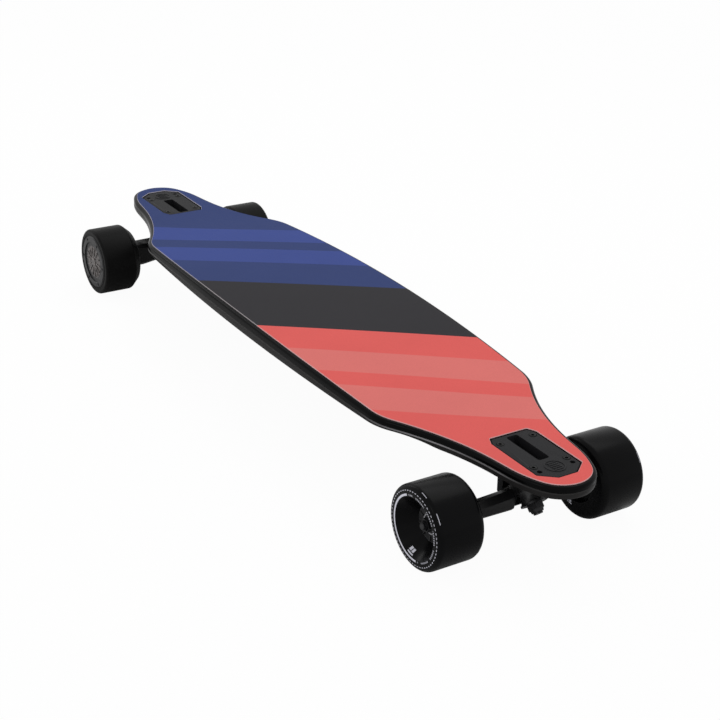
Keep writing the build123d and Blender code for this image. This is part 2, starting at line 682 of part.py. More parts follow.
CAP_TOP = UNDER - PORT_LIP - PART_GAP
with BuildPart() as charge_port_cap:
    with BuildSketch(Plane.XY.offset(CAP_TOP)):
        with Locations((PORT_X, PORT_Y)):
            Circle(PORT_FLANGE)
        with Locations((PORT_X, PORT_Y + PORT_FLANGE)):
            Rectangle(2 * CAP_KNUCKLE, 2 * HINGE_EAR)
    extrude(amount=-CAP_PLATE)
    with BuildSketch(Plane.YZ.offset(PORT_X)):
        with Locations((PORT_Y + PORT_FLANGE + HINGE_EAR, UNDER - HINGE_EAR)):
            Circle(HINGE_EAR - PART_GAP)
    extrude(amount=CAP_KNUCKLE, both=True)
    with BuildSketch(Plane.YZ.offset(PORT_X)):
        with Locations((PORT_Y + PORT_FLANGE + HINGE_EAR, UNDER - HINGE_EAR)):
            Circle(HINGE_PIN + RUNNING_GAP)
    extrude(amount=PORT_NOTCH, both=True, mode=Mode.SUBTRACT)
write("charge_port_cap", charge_port_cap.part)

BUTTON_WELL = BUTTON_TRAVEL + BUTTON_FLOOR
LIGHT_OUTER = BUTTON_RIM - LIGHT_INSET
with BuildPart() as power_button_housing:
    with BuildSketch(Plane.XY.offset(UNDER)):
        with Locations((PORT_X, -PORT_Y)):
            Circle(BUTTON_RIM)
    extrude(amount=-PORT_LIP)
    with BuildSketch(Plane.XY.offset(UNDER)):
        with Locations((PORT_X, -PORT_Y)):
            Circle(BUTTON_BARREL)
    extrude(amount=PORT_DEPTH)
    with BuildSketch(Plane.XY.offset(UNDER - PORT_LIP)):
        with Locations((PORT_X, -PORT_Y)):
            Circle(BUTTON_RADIUS + RUNNING_GAP)
    extrude(amount=BUTTON_WELL + PORT_LIP, mode=Mode.SUBTRACT)
    with BuildSketch(Plane.XY.offset(UNDER - PORT_LIP)):
        with Locations((PORT_X, -PORT_Y)):
            Circle(LIGHT_OUTER)
            Circle(LIGHT_OUTER - LIGHT_WIDTH, mode=Mode.SUBTRACT)
    extrude(amount=PORT_LIP / 2, mode=Mode.SUBTRACT)
write("power_button_housing", power_button_housing.part)

with BuildPart() as status_light_ring:
    with BuildSketch(Plane.XY.offset(UNDER - PORT_LIP)):
        with Locations((PORT_X, -PORT_Y)):
            Circle(LIGHT_OUTER)
            Circle(LIGHT_OUTER - LIGHT_WIDTH, mode=Mode.SUBTRACT)
    extrude(amount=PORT_LIP / 2)
write("status_light_ring", status_light_ring.part)

with BuildPart() as power_button:
    with BuildSketch(Plane.XY.offset(UNDER - BUTTON_PROUD)):
        with Locations((PORT_X, -PORT_Y)):
            Circle(BUTTON_RADIUS)
    extrude(amount=BUTTON_PROUD + BUTTON_WELL - BUTTON_TRAVEL - PART_GAP)
    fillet(power_button.faces().sort_by(Axis.Z)[0].edges(), BUTTON_ROUND)
write("power_button", power_button.part)

with BuildPart() as motor_cable_gland:
    with BuildSketch(Plane.XY.offset(UNDER + PORT_DEPTH)):
        with Locations((GLAND_X, 0)):
            Circle(GLAND_NECK)
    extrude(amount=-PORT_DEPTH - GLAND_HEIGHT)
    with BuildSketch(Plane.XY.offset(UNDER)):
        with Locations((GLAND_X, 0)):
            Circle(GLAND_RADIUS)
    extrude(amount=GLAND_TIP - GLAND_HEIGHT, taper=GLAND_TAPER)
    with BuildSketch(Plane.XY.offset(UNDER + PORT_DEPTH)):
        with Locations((GLAND_X, 0)):
            with GridLocations(0, GLAND_BORE * 1.2, 1, 2):
                Circle(GLAND_BORE / 2)
    extrude(amount=-PORT_DEPTH - 2 * GLAND_HEIGHT, mode=Mode.SUBTRACT)
write("motor_cable_gland", motor_cable_gland.part)

# --- Trucks, drawn at the front axle's place in a frame with X outboard -------------
RING_CENTRE = (RING_X, 0, AXLE_Z + RING_Z)
KINGPIN = Plane(RING_CENTRE, x_dir=(0, 1, 0), z_dir=(SINE, 0, -COSINE))
STEERING = Plane(RING_CENTRE, x_dir=(0, 1, 0), z_dir=(COSINE, 0, SINE))
SEAT = RING_HALF + BOARD_BUSHING + BUSHING_WASHER
HEAD = SEAT + SEAT_WALL
ROAD_WASHER = RING_HALF + ROAD_BUSHING
NUT_START = ROAD_WASHER + BUSHING_WASHER


def side_point(along, across):
    """Point of the truck's side view, from the ring's centre, along the steering axis and
    along the kingpin, as X and Z."""
    return (
        RING_X + along * COSINE + across * SINE,
        AXLE_Z + RING_Z + along * SINE - across * COSINE,
    )


def both_ends(name, piece):
    """Write a truck's piece twice, as the front one and as the rear one turned round."""
    write("front_" + name, Pos(AXLE_X, 0, 0) * piece)
    write("rear_" + name, Pos(-AXLE_X, 0, 0) * Rot(0, 0, 180) * piece)


def in_pairs(name, piece):
    """Write the front and the rear copy of a piece of the deck's own body as one group."""
    pair = Compound(
        children=[Pos(AXLE_X, 0, 0) * piece, Pos(-AXLE_X, 0, 0) * Rot(0, 0, 180) * piece]
    )
    write(name, pair)


flange_plan = flange_outline()
SEAT_EDGE = BUSHING_RADIUS + WASHER_LIP
SLOT_BOTTOM = FLANGE_SEAT - SLOT_FLOOR
tower_side = [
    side_point(-SEAT_EDGE, -SEAT),
    side_point(-CUP_MOUTH, -0.9 * TOWER_RADIUS),
    side_point(-CUP_MOUTH, 0),
    side_point(-TOWER_END, 0),
    side_point(-TOWER_END, -TOWER_RADIUS),
    (-BODY_IN, AXLE_Z + RING_Z),
]
with BuildPart() as baseplate:
    with BuildSketch(Plane.XY.offset(FLANGE_SEAT)):
        add(flange_plan)
    extrude(amount=FLANGE_THICKNESS)
    chamfer(baseplate.faces().sort_by(Axis.Z)[-1].edges(), FLANGE_BEVEL)
    # body, kingpin seat and pivot tower in one side view
    with BuildSketch(Plane.XZ):
        with BuildLine():
            Polyline(
                (-BODY_IN, FLANGE_SEAT),
                (BODY_OUT, FLANGE_SEAT),
                (BODY_OUT, BOTTOM_END - BODY_SKIRT),
                side_point(SEAT_BROW, -SEAT - SEAT_WALL / 2),
                side_point(SEAT_EDGE, -SEAT),
                *tower_side,
                close=True,
            )
        make_face()
    extrude(amount=BODY_WIDTH / 2, both=True)
    # the tower is narrower than the body
    with BuildSketch(Plane.XZ):
        with BuildLine():
            Polyline(
                side_point(-SEAT_EDGE, -SEAT),
                (-BODY_IN - BODY_GAP, BOTTOM_END - CHEEK_DROP),
                (-BODY_IN - BODY_GAP, 0),
                (BODY_OUT, 0),
                close=True,
            )
        make_face()
    extrude(amount=BODY_WIDTH / 2, both=True, mode=Mode.SUBTRACT)
    with BuildSketch(Plane.XZ):
        with BuildLine():
            Polyline(*tower_side, (-BODY_IN, BOTTOM_END - CHEEK_DROP + BODY_GAP), close=True)
        make_face()
    extrude(amount=TOWER_WIDTH / 2, both=True)
    with BuildSketch(STEERING.offset(-TOWER_END)):
        Circle(TOWER_RADIUS)
    extrude(amount=TOWER_END - CUP_MOUTH)
    # raised ring and ribs on the flange
    with BuildSketch(Plane.XY.offset(FLANGE_TOP)):
        with Locations((PAD_X, 0)):
            Circle(PAD_RADIUS)
            Circle(PAD_RADIUS - PAD_RIB, mode=Mode.SUBTRACT)
            with GridLocations(PAD_PITCH, 0, PAD_RIBS, 1):
                Rectangle(PAD_RIB, PAD_RADIUS)
    extrude(amount=PAD_HEIGHT)
    # slot down to the kingpin's head, kingpin hole, pivot cup's bore, bolt holes
    with BuildSketch(Plane.XY.offset(SLOT_BOTTOM)):
        with Locations(((SLOT_IN + SLOT_OUT) / 2, 0)):
            RectangleRounded(SLOT_OUT - SLOT_IN, SLOT_WIDTH, SLOT_CORNER)
    extrude(amount=FLANGE_TOP - SLOT_BOTTOM, mode=Mode.SUBTRACT)
    with BuildSketch(Plane.XY.offset(SLOT_BOTTOM)):
        with Locations((SLOT_IN + SLOT_WELL / 2, 0)):
            RectangleRounded(SLOT_WELL, SLOT_WIDTH, SLOT_CORNER)
    extrude(amount=-SLOT_WELL_DEPTH, mode=Mode.SUBTRACT)
    with BuildSketch(KINGPIN.offset(-HEAD)):
        Circle(KINGPIN_WELL)
    extrude(amount=-KINGPIN_WELL_DEPTH, mode=Mode.SUBTRACT)
    with BuildSketch(KINGPIN.offset(-HEAD)):
        Circle(KINGPIN_RADIUS + RUNNING_GAP)
    extrude(amount=HEAD, mode=Mode.SUBTRACT)
    with BuildSketch(STEERING.offset(-NOSE_REACH - CUP_FLOOR)):
        Circle(NOSE_RADIUS + CUP_WALL + RUNNING_GAP)
    extrude(amount=NOSE_REACH, mode=Mode.SUBTRACT)
    with BuildSketch(Plane.XY.offset(FLANGE_TOP)):
        with Locations(bolt_points + spare_points):
            Circle(BOLT_RADIUS + BOLT_CLEARANCE)
    extrude(amount=-FLANGE_THICKNESS, mode=Mode.SUBTRACT)
    with BuildSketch(Plane.XY.offset(FLANGE_TOP)):
        with Locations(bolt_points):
            Circle(BOLT_HEAD_RADIUS + BOLT_CLEARANCE)
    extrude(amount=-BOLT_HEAD_SINK, mode=Mode.SUBTRACT)
both_ends("baseplate", baseplate.part)

HEAD_BASE = FLANGE_TOP - BOLT_HEAD_SINK
with BuildPart() as bolts:
    with BuildSketch(Plane.XY.offset(HEAD_BASE)):
        with Locations(bolt_points):
            Circle(BOLT_HEAD_RADIUS)
    extrude(amount=BOLT_HEAD_HEIGHT)
    fillet(bolts.faces().group_by(Axis.Z)[-1].edges(), BOLT_HEAD_ROUND)
    with BuildSketch(Plane.XY.offset(HEAD_BASE + BOLT_HEAD_HEIGHT)):
        with Locations(bolt_points):
            RegularPolygon(BOLT_SOCKET, 6)
    extrude(amount=-BOLT_HEAD_HEIGHT * 0.6, mode=Mode.SUBTRACT)
    with BuildSketch(Plane.XY.offset(HEAD_BASE)):
        with Locations(bolt_points):
            Circle(BOLT_RADIUS)
    extrude(amount=BOTTOM_END - HEAD_BASE - 1)
in_pairs("mount_bolts", bolts.part)

with BuildPart() as nuts:
    with BuildSketch(Plane.XY.offset(BOTTOM_END)):
        with Locations(bolt_points):
            RegularPolygon(NUT_FLATS / 2, 6, major_radius=False)
            Circle(BOLT_RADIUS + RUNNING_GAP, mode=Mode.SUBTRACT)
    extrude(amount=NUT_HEIGHT)
in_pairs("mount_nuts", nuts.part)

with BuildPart() as pivot_cup:
    with BuildSketch(STEERING.offset(-NOSE_REACH - CUP_FLOOR)):
        Circle(NOSE_RADIUS + CUP_WALL)
    extrude(amount=NOSE_REACH + CUP_FLOOR - CUP_MOUTH)
    with BuildSketch(STEERING.offset(-NOSE_REACH - PART_GAP)):
        Circle(NOSE_RADIUS + RUNNING_GAP)
    extrude(amount=NOSE_REACH, mode=Mode.SUBTRACT)
in_pairs("pivot_cups", pivot_cup.part)

with BuildPart() as kingpin:
    with BuildSketch(KINGPIN.offset(-HEAD)):
        RegularPolygon(KINGPIN_FLATS / 2, 6, major_radius=False)
    extrude(amount=-KINGPIN_HEAD)
    with BuildSketch(KINGPIN.offset(-HEAD - KINGPIN_HEAD)):
        RegularPolygon(KINGPIN_SOCKET, 6)
    extrude(amount=KINGPIN_HEAD * 0.6, mode=Mode.SUBTRACT)
    with BuildSketch(KINGPIN.offset(-HEAD)):
        Circle(KINGPIN_RADIUS)
    extrude(amount=HEAD + NUT_START + KINGPIN_NUT + KINGPIN_TAIL)
in_pairs("kingpins", kingpin.part)

with BuildPart() as kingpin_nut:
    with BuildSketch(KINGPIN.offset(NUT_START)):
        RegularPolygon(KINGPIN_RADIUS * 1.6, 6, major_radius=False)
    extrude(amount=KINGPIN_NUT - NUT_COLLAR)
    with BuildSketch(KINGPIN.offset(NUT_START + KINGPIN_NUT - NUT_COLLAR)):
        Circle(KINGPIN_RADIUS * 1.45)
    extrude(amount=NUT_COLLAR, taper=15)
    with BuildSketch(KINGPIN.offset(NUT_START)):
        Circle(KINGPIN_RADIUS + RUNNING_GAP)
    extrude(amount=KINGPIN_NUT, mode=Mode.SUBTRACT)
in_pairs("kingpin_nuts", kingpin_nut.part)

with BuildPart() as washers:
    for start in (-SEAT, ROAD_WASHER):
        with BuildSketch(KINGPIN.offset(start)):
            Circle(BUSHING_RADIUS + WASHER_LIP)
            Circle(KINGPIN_RADIUS + RUNNING_GAP, mode=Mode.SUBTRACT)
        extrude(amount=BUSHING_WASHER)
in_pairs("bushing_washers", washers.part)


def bushing(start, length):
    """Urethane barrel bushing along the kingpin, waisted at its middle."""
    profile = Plane(RING_CENTRE, x_dir=(COSINE, 0, SINE), z_dir=(0, -1, 0))
    across = -1 if start < 0 else 1
    near, far = start * across, start * across + length
    with BuildPart() as barrel:
        with BuildSketch(profile):
            with BuildLine():
                low, high = sorted((-across * near, -across * far))
                Polyline(
                    (BUSHING_RADIUS, low),
                    (KINGPIN_RADIUS + RUNNING_GAP, low),
                    (KINGPIN_RADIUS + RUNNING_GAP, high),
                    (BUSHING_RADIUS, high),
                )
                ThreePointArc(
                    (BUSHING_RADIUS, high), (BUSHING_WAIST, (low + high) / 2), (BUSHING_RADIUS, low)
                )
            make_face()
        revolve(axis=Axis(RING_CENTRE, (SINE, 0, -COSINE)))
    return barrel.part


both_ends("board_side_bushing", bushing(-RING_HALF, BOARD_BUSHING))
both_ends("road_side_bushing", bushing(RING_HALF, ROAD_BUSHING))

def eight_sided(width, height, bevel, rise=0):
    """Corners of a bevelled rectangle round the axle, seen from its end."""
    x, low, high = width / 2, AXLE_Z + rise - height / 2, AXLE_Z + rise + height / 2
    return [
        (-x, low + bevel), (bevel - x, low), (x - bevel, low), (x, low + bevel),
        (x, high - bevel), (x - bevel, high), (bevel - x, high), (-x, high - bevel),
    ]


ROOT_SECTION = [
    (-ARM_ROOT_INBOARD, AXLE_Z - ARM_ROOT_DROP + ARM_ROOT_BEVEL),
    (ARM_ROOT_BEVEL - ARM_ROOT_INBOARD, AXLE_Z - ARM_ROOT_DROP),
    (ARM_ROOT_OUTBOARD - ARM_ROOT_BEVEL, AXLE_Z - ARM_ROOT_DROP),
    (ARM_ROOT_OUTBOARD, AXLE_Z - ARM_ROOT_DROP + ARM_ROOT_BEVEL),
    (RING_X + RING_HALF, AXLE_Z + 0.7 * RING_Z),
    (0.8 * RING_X, AXLE_Z + RING_Z),
    (0, AXLE_Z + 0.8 * RING_Z),
    (-ARM_ROOT_INBOARD, AXLE_Z + 0.3 * RING_Z),
]


def hanger(arm_section, arm_end, bore):
    """Ring, pivot and two arms in one casting; the arms widen or narrow to arm_section."""
    with BuildPart() as casting:
        for side in (-1, 1):
            for y, section in ((ARM_ROOT_Y, ROOT_SECTION), (arm_end, arm_section)):
                with BuildSketch(Plane.XZ.offset(side * y)):
                    with BuildLine():
                        Polyline(*section, close=True)
                    make_face()
            loft(ruled=True)
        with BuildSketch(Plane.XZ):
            with Locations((0, AXLE_Z)):
                Circle(HUB_RADIUS)
            with BuildLine():
                Polyline(
                    side_point(-RING_RADIUS / 2, -RING_HALF),
                    side_point(-RING_RADIUS / 2, RING_HALF),
                    (ARM_ROOT_OUTBOARD, AXLE_Z),
                    (0, AXLE_Z - HUB_RADIUS),
                    (-HUB_RADIUS, AXLE_Z),
                    side_point(-0.9 * CUP_MOUTH, -NOSE_RADIUS),
                    close=True,
                )
            make_face()
        extrude(amount=ARM_ROOT_Y, both=True)
        with BuildSketch(KINGPIN.offset(-RING_HALF)):
            Circle(RING_RADIUS)
        extrude(amount=2 * RING_HALF)
        # clear of the pivot tower, and of both bushings
        with BuildSketch(STEERING.offset(2 * PART_GAP - CUP_MOUTH)):
            Rectangle(2 * ARM_ROOT_Y - BUSHING_ROOM, 2 * TOWER_END)
        extrude(amount=-TOWER_END, mode=Mode.SUBTRACT)
        for start, depth in (
            (-RING_HALF, -BOARD_BUSHING), (RING_HALF, ROAD_BUSHING + KINGPIN_NUT)
        ):
            with BuildSketch(KINGPIN.offset(start)):
                Circle(BUSHING_RADIUS + BUSHING_ROOM)
            extrude(amount=depth, mode=Mode.SUBTRACT)
        with BuildSketch(STEERING.offset(-NOSE_REACH)):
            Circle(NOSE_RADIUS)
        extrude(amount=NOSE_REACH - 0.9 * RING_RADIUS)
        with BuildSketch(KINGPIN.offset(-RING_HALF)):
            Circle(RING_BORE)
        extrude(amount=2 * RING_HALF, mode=Mode.SUBTRACT)
        with BuildSketch(Plane.XZ.offset(-TRACK_OUTER)):
            with Locations((0, AXLE_Z)):
                Circle(bore)
        extrude(amount=2 * TRACK_OUTER, mode=Mode.SUBTRACT)
    return casting.part


# front arms narrow to a round collar at each wheel
front_casting = hanger(
    eight_sided(ARM_TIP_FLATS, ARM_TIP_FLATS, ARM_TIP_BEVEL),
    ARM_TIP_Y - ARM_COLLAR,
    AXLE_RADIUS + RUNNING_GAP,
)
with BuildPart() as front_hanger:
    add(front_casting)
    for side in (-1, 1):
        with BuildSketch(Plane.XZ.offset(side * (ARM_TIP_Y - ARM_COLLAR))):
            with Locations((0, AXLE_Z)):
                Circle(ARM_COLLAR_RADIUS)
                Circle(AXLE_RADIUS + RUNNING_GAP, mode=Mode.SUBTRACT)
        extrude(amount=side * ARM_COLLAR)
write("front_hanger", Pos(AXLE_X, 0, 0) * front_hanger.part)

# rear arms grow to a thick block that clamps the motors' shaft
SHAFT_START = MOTOR_INNER - PART_GAP
motor_arm = eight_sided(MOTOR_ARM_WIDTH, MOTOR_ARM_HEIGHT, MOTOR_ARM_BEVEL, MOTOR_ARM_RISE)
rear_casting = hanger(motor_arm, SHAFT_START - MOTOR_ARM_COLLAR, SHAFT_RADIUS + RUNNING_GAP)
with BuildPart() as rear_hanger:
    add(rear_casting)
    for side in (-1, 1):
        with BuildSketch(Plane.XZ.offset(side * (SHAFT_START - MOTOR_ARM_COLLAR))):
            with BuildLine():
                Polyline(*motor_arm, close=True)
            make_face()
            with Locations((0, AXLE_Z)):
                Circle(SHAFT_RADIUS + RUNNING_GAP, mode=Mode.SUBTRACT)
        extrude(amount=side * MOTOR_ARM_COLLAR)
write("rear_hanger", Pos(-AXLE_X, 0, 0) * Rot(0, 0, 180) * rear_hanger.part)

# --- Front axle and wheels ----------------------------------------------------------
NUT_Y = BEARING_OUTER_Y + WASHER_THICKNESS
AXLE_LINE = Axis((0, 0, AXLE_Z), (0, 1, 0))


def at_axle(y):
    """Plane across the axle line at y, its normal pointing left."""
    return Plane((0, y, AXLE_Z), x_dir=(1, 0, 0), z_dir=(0, 1, 0))


with BuildPart() as front_axle:
    with BuildSketch(at_axle(-NUT_Y - AXLE_NUT_HEIGHT - AXLE_TAIL)):
        Circle(AXLE_RADIUS)
    extrude(amount=2 * (NUT_Y + AXLE_NUT_HEIGHT + AXLE_TAIL))
    chamfer(front_axle.edges().filter_by(GeomType.CIRCLE), AXLE_BEVEL)
write("front_axle", Pos(AXLE_X, 0, 0) * front_axle.part)

with BuildPart() as front_axle_nuts:
    with BuildSketch(at_axle(NUT_Y)):
        RegularPolygon(AXLE_NUT_FLATS / 2, 6, major_radius=False)
    extrude(amount=AXLE_NUT_HEIGHT * 0.7)
    with BuildSketch(at_axle(NUT_Y + AXLE_NUT_HEIGHT * 0.7)):
        Circle(AXLE_NUT_FLATS * 0.43)
    extrude(amount=AXLE_NUT_HEIGHT * 0.3, taper=20)
    with BuildSketch(at_axle(NUT_Y)):
        Circle(AXLE_RADIUS + RUNNING_GAP)
    extrude(amount=AXLE_NUT_HEIGHT, mode=Mode.SUBTRACT)
    mirror(about=Plane.XZ)
write("front_axle_nuts", Pos(AXLE_X, 0, 0) * front_axle_nuts.part)

with BuildPart() as front_axle_washers:
    for washer_y in (ARM_TIP_Y, BEARING_OUTER_Y):
        with BuildSketch(at_axle(washer_y)):
            Circle(WASHER_RADIUS)
            Circle(AXLE_RADIUS + RUNNING_GAP, mode=Mode.SUBTRACT)
        extrude(amount=WASHER_THICKNESS)
    mirror(about=Plane.XZ)
write("front_axle_washers", Pos(AXLE_X, 0, 0) * front_axle_washers.part)

INNER_BEARING_END = CORE_INNER_Y + BEARING_WIDTH
OUTER_BEARING_START = BEARING_OUTER_Y - BEARING_WIDTH
with BuildPart() as front_bearing_inner_rings:
    for ring_y in (CORE_INNER_Y, OUTER_BEARING_START):
        with BuildSketch(at_axle(ring_y)):
            Circle(BEARING_RACE)
            Circle(AXLE_RADIUS + RUNNING_GAP, mode=Mode.SUBTRACT)
        extrude(amount=BEARING_WIDTH)
    mirror(about=Plane.XZ)
write("front_bearing_inner_rings", Pos(AXLE_X, 0, 0) * front_bearing_inner_rings.part)

with BuildPart() as front_bearing_spacers:
    with BuildSketch(at_axle(INNER_BEARING_END)):
        Circle(SPACER_RADIUS)
        Circle(AXLE_RADIUS + RUNNING_GAP, mode=Mode.SUBTRACT)
    extrude(amount=OUTER_BEARING_START - INNER_BEARING_END)
    mirror(about=Plane.XZ)
write("front_bearing_spacers", Pos(AXLE_X, 0, 0) * front_bearing_spacers.part)

# the urethane, turned about the axle: radius against y
with BuildPart() as tyre:
    with BuildSketch(Plane.YZ):
        with BuildLine():
            Polyline(
                (CORE_INNER_Y, AXLE_Z + CORE_RADIUS),
                (CORE_INNER_Y, AXLE_Z + INNER_DISH_RADIUS - DISH_FLARE),
                (TRACK_INNER, AXLE_Z + INNER_DISH_RADIUS),
                (TRACK_INNER, AXLE_Z + WHEEL_RADIUS),
                (TRACK_OUTER, AXLE_Z + WHEEL_RADIUS),
                (TRACK_OUTER, AXLE_Z + DISH_RADIUS),
                (BEARING_OUTER_Y + DISH_STEP, AXLE_Z + CORE_RADIUS + DISH_FLARE),
                (BEARING_OUTER_Y, AXLE_Z + CORE_RADIUS),
                close=True,
            )
        make_face()
    revolve(axis=AXLE_LINE)
    rims = tyre.edges().filter_by(GeomType.CIRCLE).group_by(SortBy.RADIUS)[-1]
    fillet(rims, LIP_ROUND)

# hub core, bearings and tyre turn together; drawn for the left wheel
with BuildPart() as core:
    with BuildSketch(at_axle(CORE_INNER_Y)):
        Circle(CORE_RADIUS)
    extrude(amount=BEARING_OUTER_Y - CORE_INNER_Y)
    with BuildSketch(at_axle(BEARING_OUTER_Y)):
        with PolarLocations((CORE_RADIUS + BEARING_RADIUS) / 2, CORE_RIBS):
            Rectangle(CORE_RADIUS - BEARING_RADIUS - RIB_WIDTH, RIB_WIDTH)
    extrude(amount=RIB_HEIGHT)
    with BuildSketch(at_axle(CORE_INNER_Y)):
        Circle(BEARING_RADIUS - BEARING_SHOULDER)
    extrude(amount=BEARING_OUTER_Y - CORE_INNER_Y, mode=Mode.SUBTRACT)
    for seat_y in (CORE_INNER_Y, OUTER_BEARING_START):
        with BuildSketch(at_axle(seat_y)):
            Circle(BEARING_RADIUS)
        extrude(amount=BEARING_WIDTH, mode=Mode.SUBTRACT)

with BuildPart() as bearings:
    for ring_y in (CORE_INNER_Y, OUTER_BEARING_START):
        with BuildSketch(at_axle(ring_y)):
            Circle(BEARING_RADIUS)
            Circle(BEARING_RACE + RUNNING_GAP * 2, mode=Mode.SUBTRACT)
        extrude(amount=BEARING_WIDTH)
        # the shields stand a little below both faces
        for shield_y, inwards in ((ring_y, 1), (ring_y + BEARING_WIDTH, -1)):
            with BuildSketch(at_axle(shield_y)):
                Circle(BEARING_RADIUS - BEARING_SHOULDER)
                Circle(BEARING_RACE, mode=Mode.SUBTRACT)
            extrude(amount=inwards * SHIELD_DEPTH, mode=Mode.SUBTRACT)

for side, word in ((1, "left"), (-1, "right")):
    turn = Rot(0, 0, 0) if side > 0 else Rot(0, 0, 180)
    for name, piece in (("tyre", tyre.part), ("core", core.part), ("bearings", bearings.part)):
        write(f"front_{word}_{name}", Pos(AXLE_X, 0, 0) * turn * piece)

# --- Hub motors, drawn for the left wheel --------------------------------------------
MOTOR_OUTER = MOTOR_INNER + MOTOR_WIDTH
CAN_RADIUS = WHEEL_RADIUS - SLEEVE_THICKNESS
CAN_BORE = CAN_RADIUS - CAN_WALL
STATOR_RADIUS = CAN_BORE - MAGNET_THICKNESS - AIR_GAP
CAVITY_START = MOTOR_INNER + CAN_PLATE
CAVITY_END = MOTOR_OUTER - CAP_THICKNESS
STATOR_START = (CAVITY_START + CAVITY_END - STATOR_LENGTH) / 2
INNER_BEARING_Y = MOTOR_INNER + MOTOR_BEARING_SINK
CAP_BEARING_Y = CAVITY_END + MOTOR_BEARING_SINK - MOTOR_BEARING_WIDTH
SHAFT_END = CAP_BEARING_Y + MOTOR_BEARING_WIDTH

with BuildPart() as motor_can:
    with BuildSketch(at_axle(MOTOR_INNER)):
        Circle(CAN_RADIUS - CAN_STEP)
    extrude(amount=CAN_STEP_LENGTH)
    chamfer(motor_can.faces().sort_by(Axis.Y)[0].edges(), CAN_BEVEL)
    with BuildSketch(at_axle(MOTOR_INNER + CAN_STEP_LENGTH)):
        Circle(CAN_RADIUS)
    extrude(amount=CAVITY_END - MOTOR_INNER - CAN_STEP_LENGTH)
    with BuildSketch(at_axle(CAVITY_START)):
        Circle(CAN_BORE)
    extrude(amount=CAVITY_END - CAVITY_START, mode=Mode.SUBTRACT)
    # boss that carries the inner bearing
    with BuildSketch(at_axle(CAVITY_START)):
        Circle(MOTOR_BEARING_RADIUS + CAN_WALL)
    extrude(amount=INNER_BEARING_Y + MOTOR_BEARING_WIDTH - CAVITY_START)
    with BuildSketch(at_axle(INNER_BEARING_Y)):
        Circle(MOTOR_BEARING_RADIUS)
    extrude(amount=MOTOR_BEARING_WIDTH, mode=Mode.SUBTRACT)
    with BuildSketch(at_axle(MOTOR_INNER)):
        Circle(MOTOR_BEARING_RADIUS - MOTOR_BEARING_LIP)
    extrude(amount=MOTOR_BEARING_WIDTH, mode=Mode.SUBTRACT)
    # blind holes for the cap's screws
    with BuildSketch(at_axle(CAVITY_END)):
        with PolarLocations(CAP_SCREW_CIRCLE, CAP_SCREWS):
            Circle(CAP_SCREW_BOSS)
        Circle(CAN_RADIUS, mode=Mode.INTERSECT)
    extrude(amount=-CAP_SCREW_DEPTH)
    with BuildSketch(at_axle(CAVITY_END)):
        with PolarLocations(CAP_SCREW_CIRCLE, CAP_SCREWS):
            Circle(CAP_SCREW_RADIUS + RUNNING_GAP)
    extrude(amount=MOTOR_BEARING_SINK - CAP_SCREW_DEPTH, mode=Mode.SUBTRACT)

CAP_FLOOR = MOTOR_OUTER - CAP_DISH_DEPTH
SCREW_SEAT = MOTOR_OUTER - CAP_SCREW_SINK
with BuildPart() as motor_cap:
    with BuildSketch(at_axle(CAVITY_END)):
        Circle(CAN_RADIUS)
    extrude(amount=CAP_THICKNESS)
    chamfer(motor_cap.faces().sort_by(Axis.Y)[-1].edges(), CAP_BEVEL)
    with BuildSketch(at_axle(MOTOR_OUTER)):
        Circle(CAP_DISH_RADIUS)
    extrude(amount=-CAP_DISH_DEPTH, mode=Mode.SUBTRACT)
    with BuildSketch(at_axle(CAP_FLOOR)):
        Circle(CAP_BOSS)
        with PolarLocations((CAP_FIN_INNER + CAP_FIN_OUTER) / 2, CAP_FINS):
            Rectangle(CAP_FIN_OUTER - CAP_FIN_INNER, CAP_FIN_WIDTH)
    extrude(amount=CAP_FIN_HEIGHT)
    with BuildSketch(at_axle(CAVITY_END)):
        Circle(MOTOR_BEARING_RADIUS + CAN_WALL)
    extrude(amount=MOTOR_BEARING_SINK - MOTOR_BEARING_WIDTH)
    with BuildSketch(at_axle(CAP_BEARING_Y)):
        Circle(MOTOR_BEARING_RADIUS)
    extrude(amount=MOTOR_BEARING_WIDTH, mode=Mode.SUBTRACT)
    with BuildSketch(at_axle(MOTOR_OUTER)):
        with PolarLocations(CAP_SCREW_CIRCLE, CAP_SCREWS):
            Circle(CAP_SCREW_RADIUS + RUNNING_GAP)
    extrude(amount=-CAP_THICKNESS, mode=Mode.SUBTRACT)
    with BuildSketch(at_axle(SCREW_SEAT)):
        with PolarLocations(CAP_SCREW_CIRCLE, CAP_SCREWS):
            Circle(CAP_SCREW_HEAD + 2 * RUNNING_GAP)
    extrude(amount=CAP_SCREW_SINK, mode=Mode.SUBTRACT)

with BuildPart() as cap_screws:
    with BuildSketch(at_axle(SCREW_SEAT)):
        with PolarLocations(CAP_SCREW_CIRCLE, CAP_SCREWS):
            Circle(CAP_SCREW_HEAD)
    extrude(amount=0.8 * CAP_SCREW_SINK)
    with BuildSketch(at_axle(SCREW_SEAT)):
        with PolarLocations(CAP_SCREW_CIRCLE, CAP_SCREWS):
            Circle(CAP_SCREW_RADIUS)
    extrude(amount=CAVITY_END - SCREW_SEAT + MOTOR_BEARING_SINK - CAP_SCREW_DEPTH)

with BuildPart() as magnets:
    with BuildSketch(at_axle(STATOR_START)):
        Circle(CAN_BORE)
        Circle(CAN_BORE - MAGNET_THICKNESS, mode=Mode.SUBTRACT)
        with PolarLocations(CAN_BORE, MAGNET_COUNT, start_angle=12):
            Rectangle(4 * MAGNET_THICKNESS, 1, mode=Mode.SUBTRACT)
    extrude(amount=MAGNET_LENGTH)

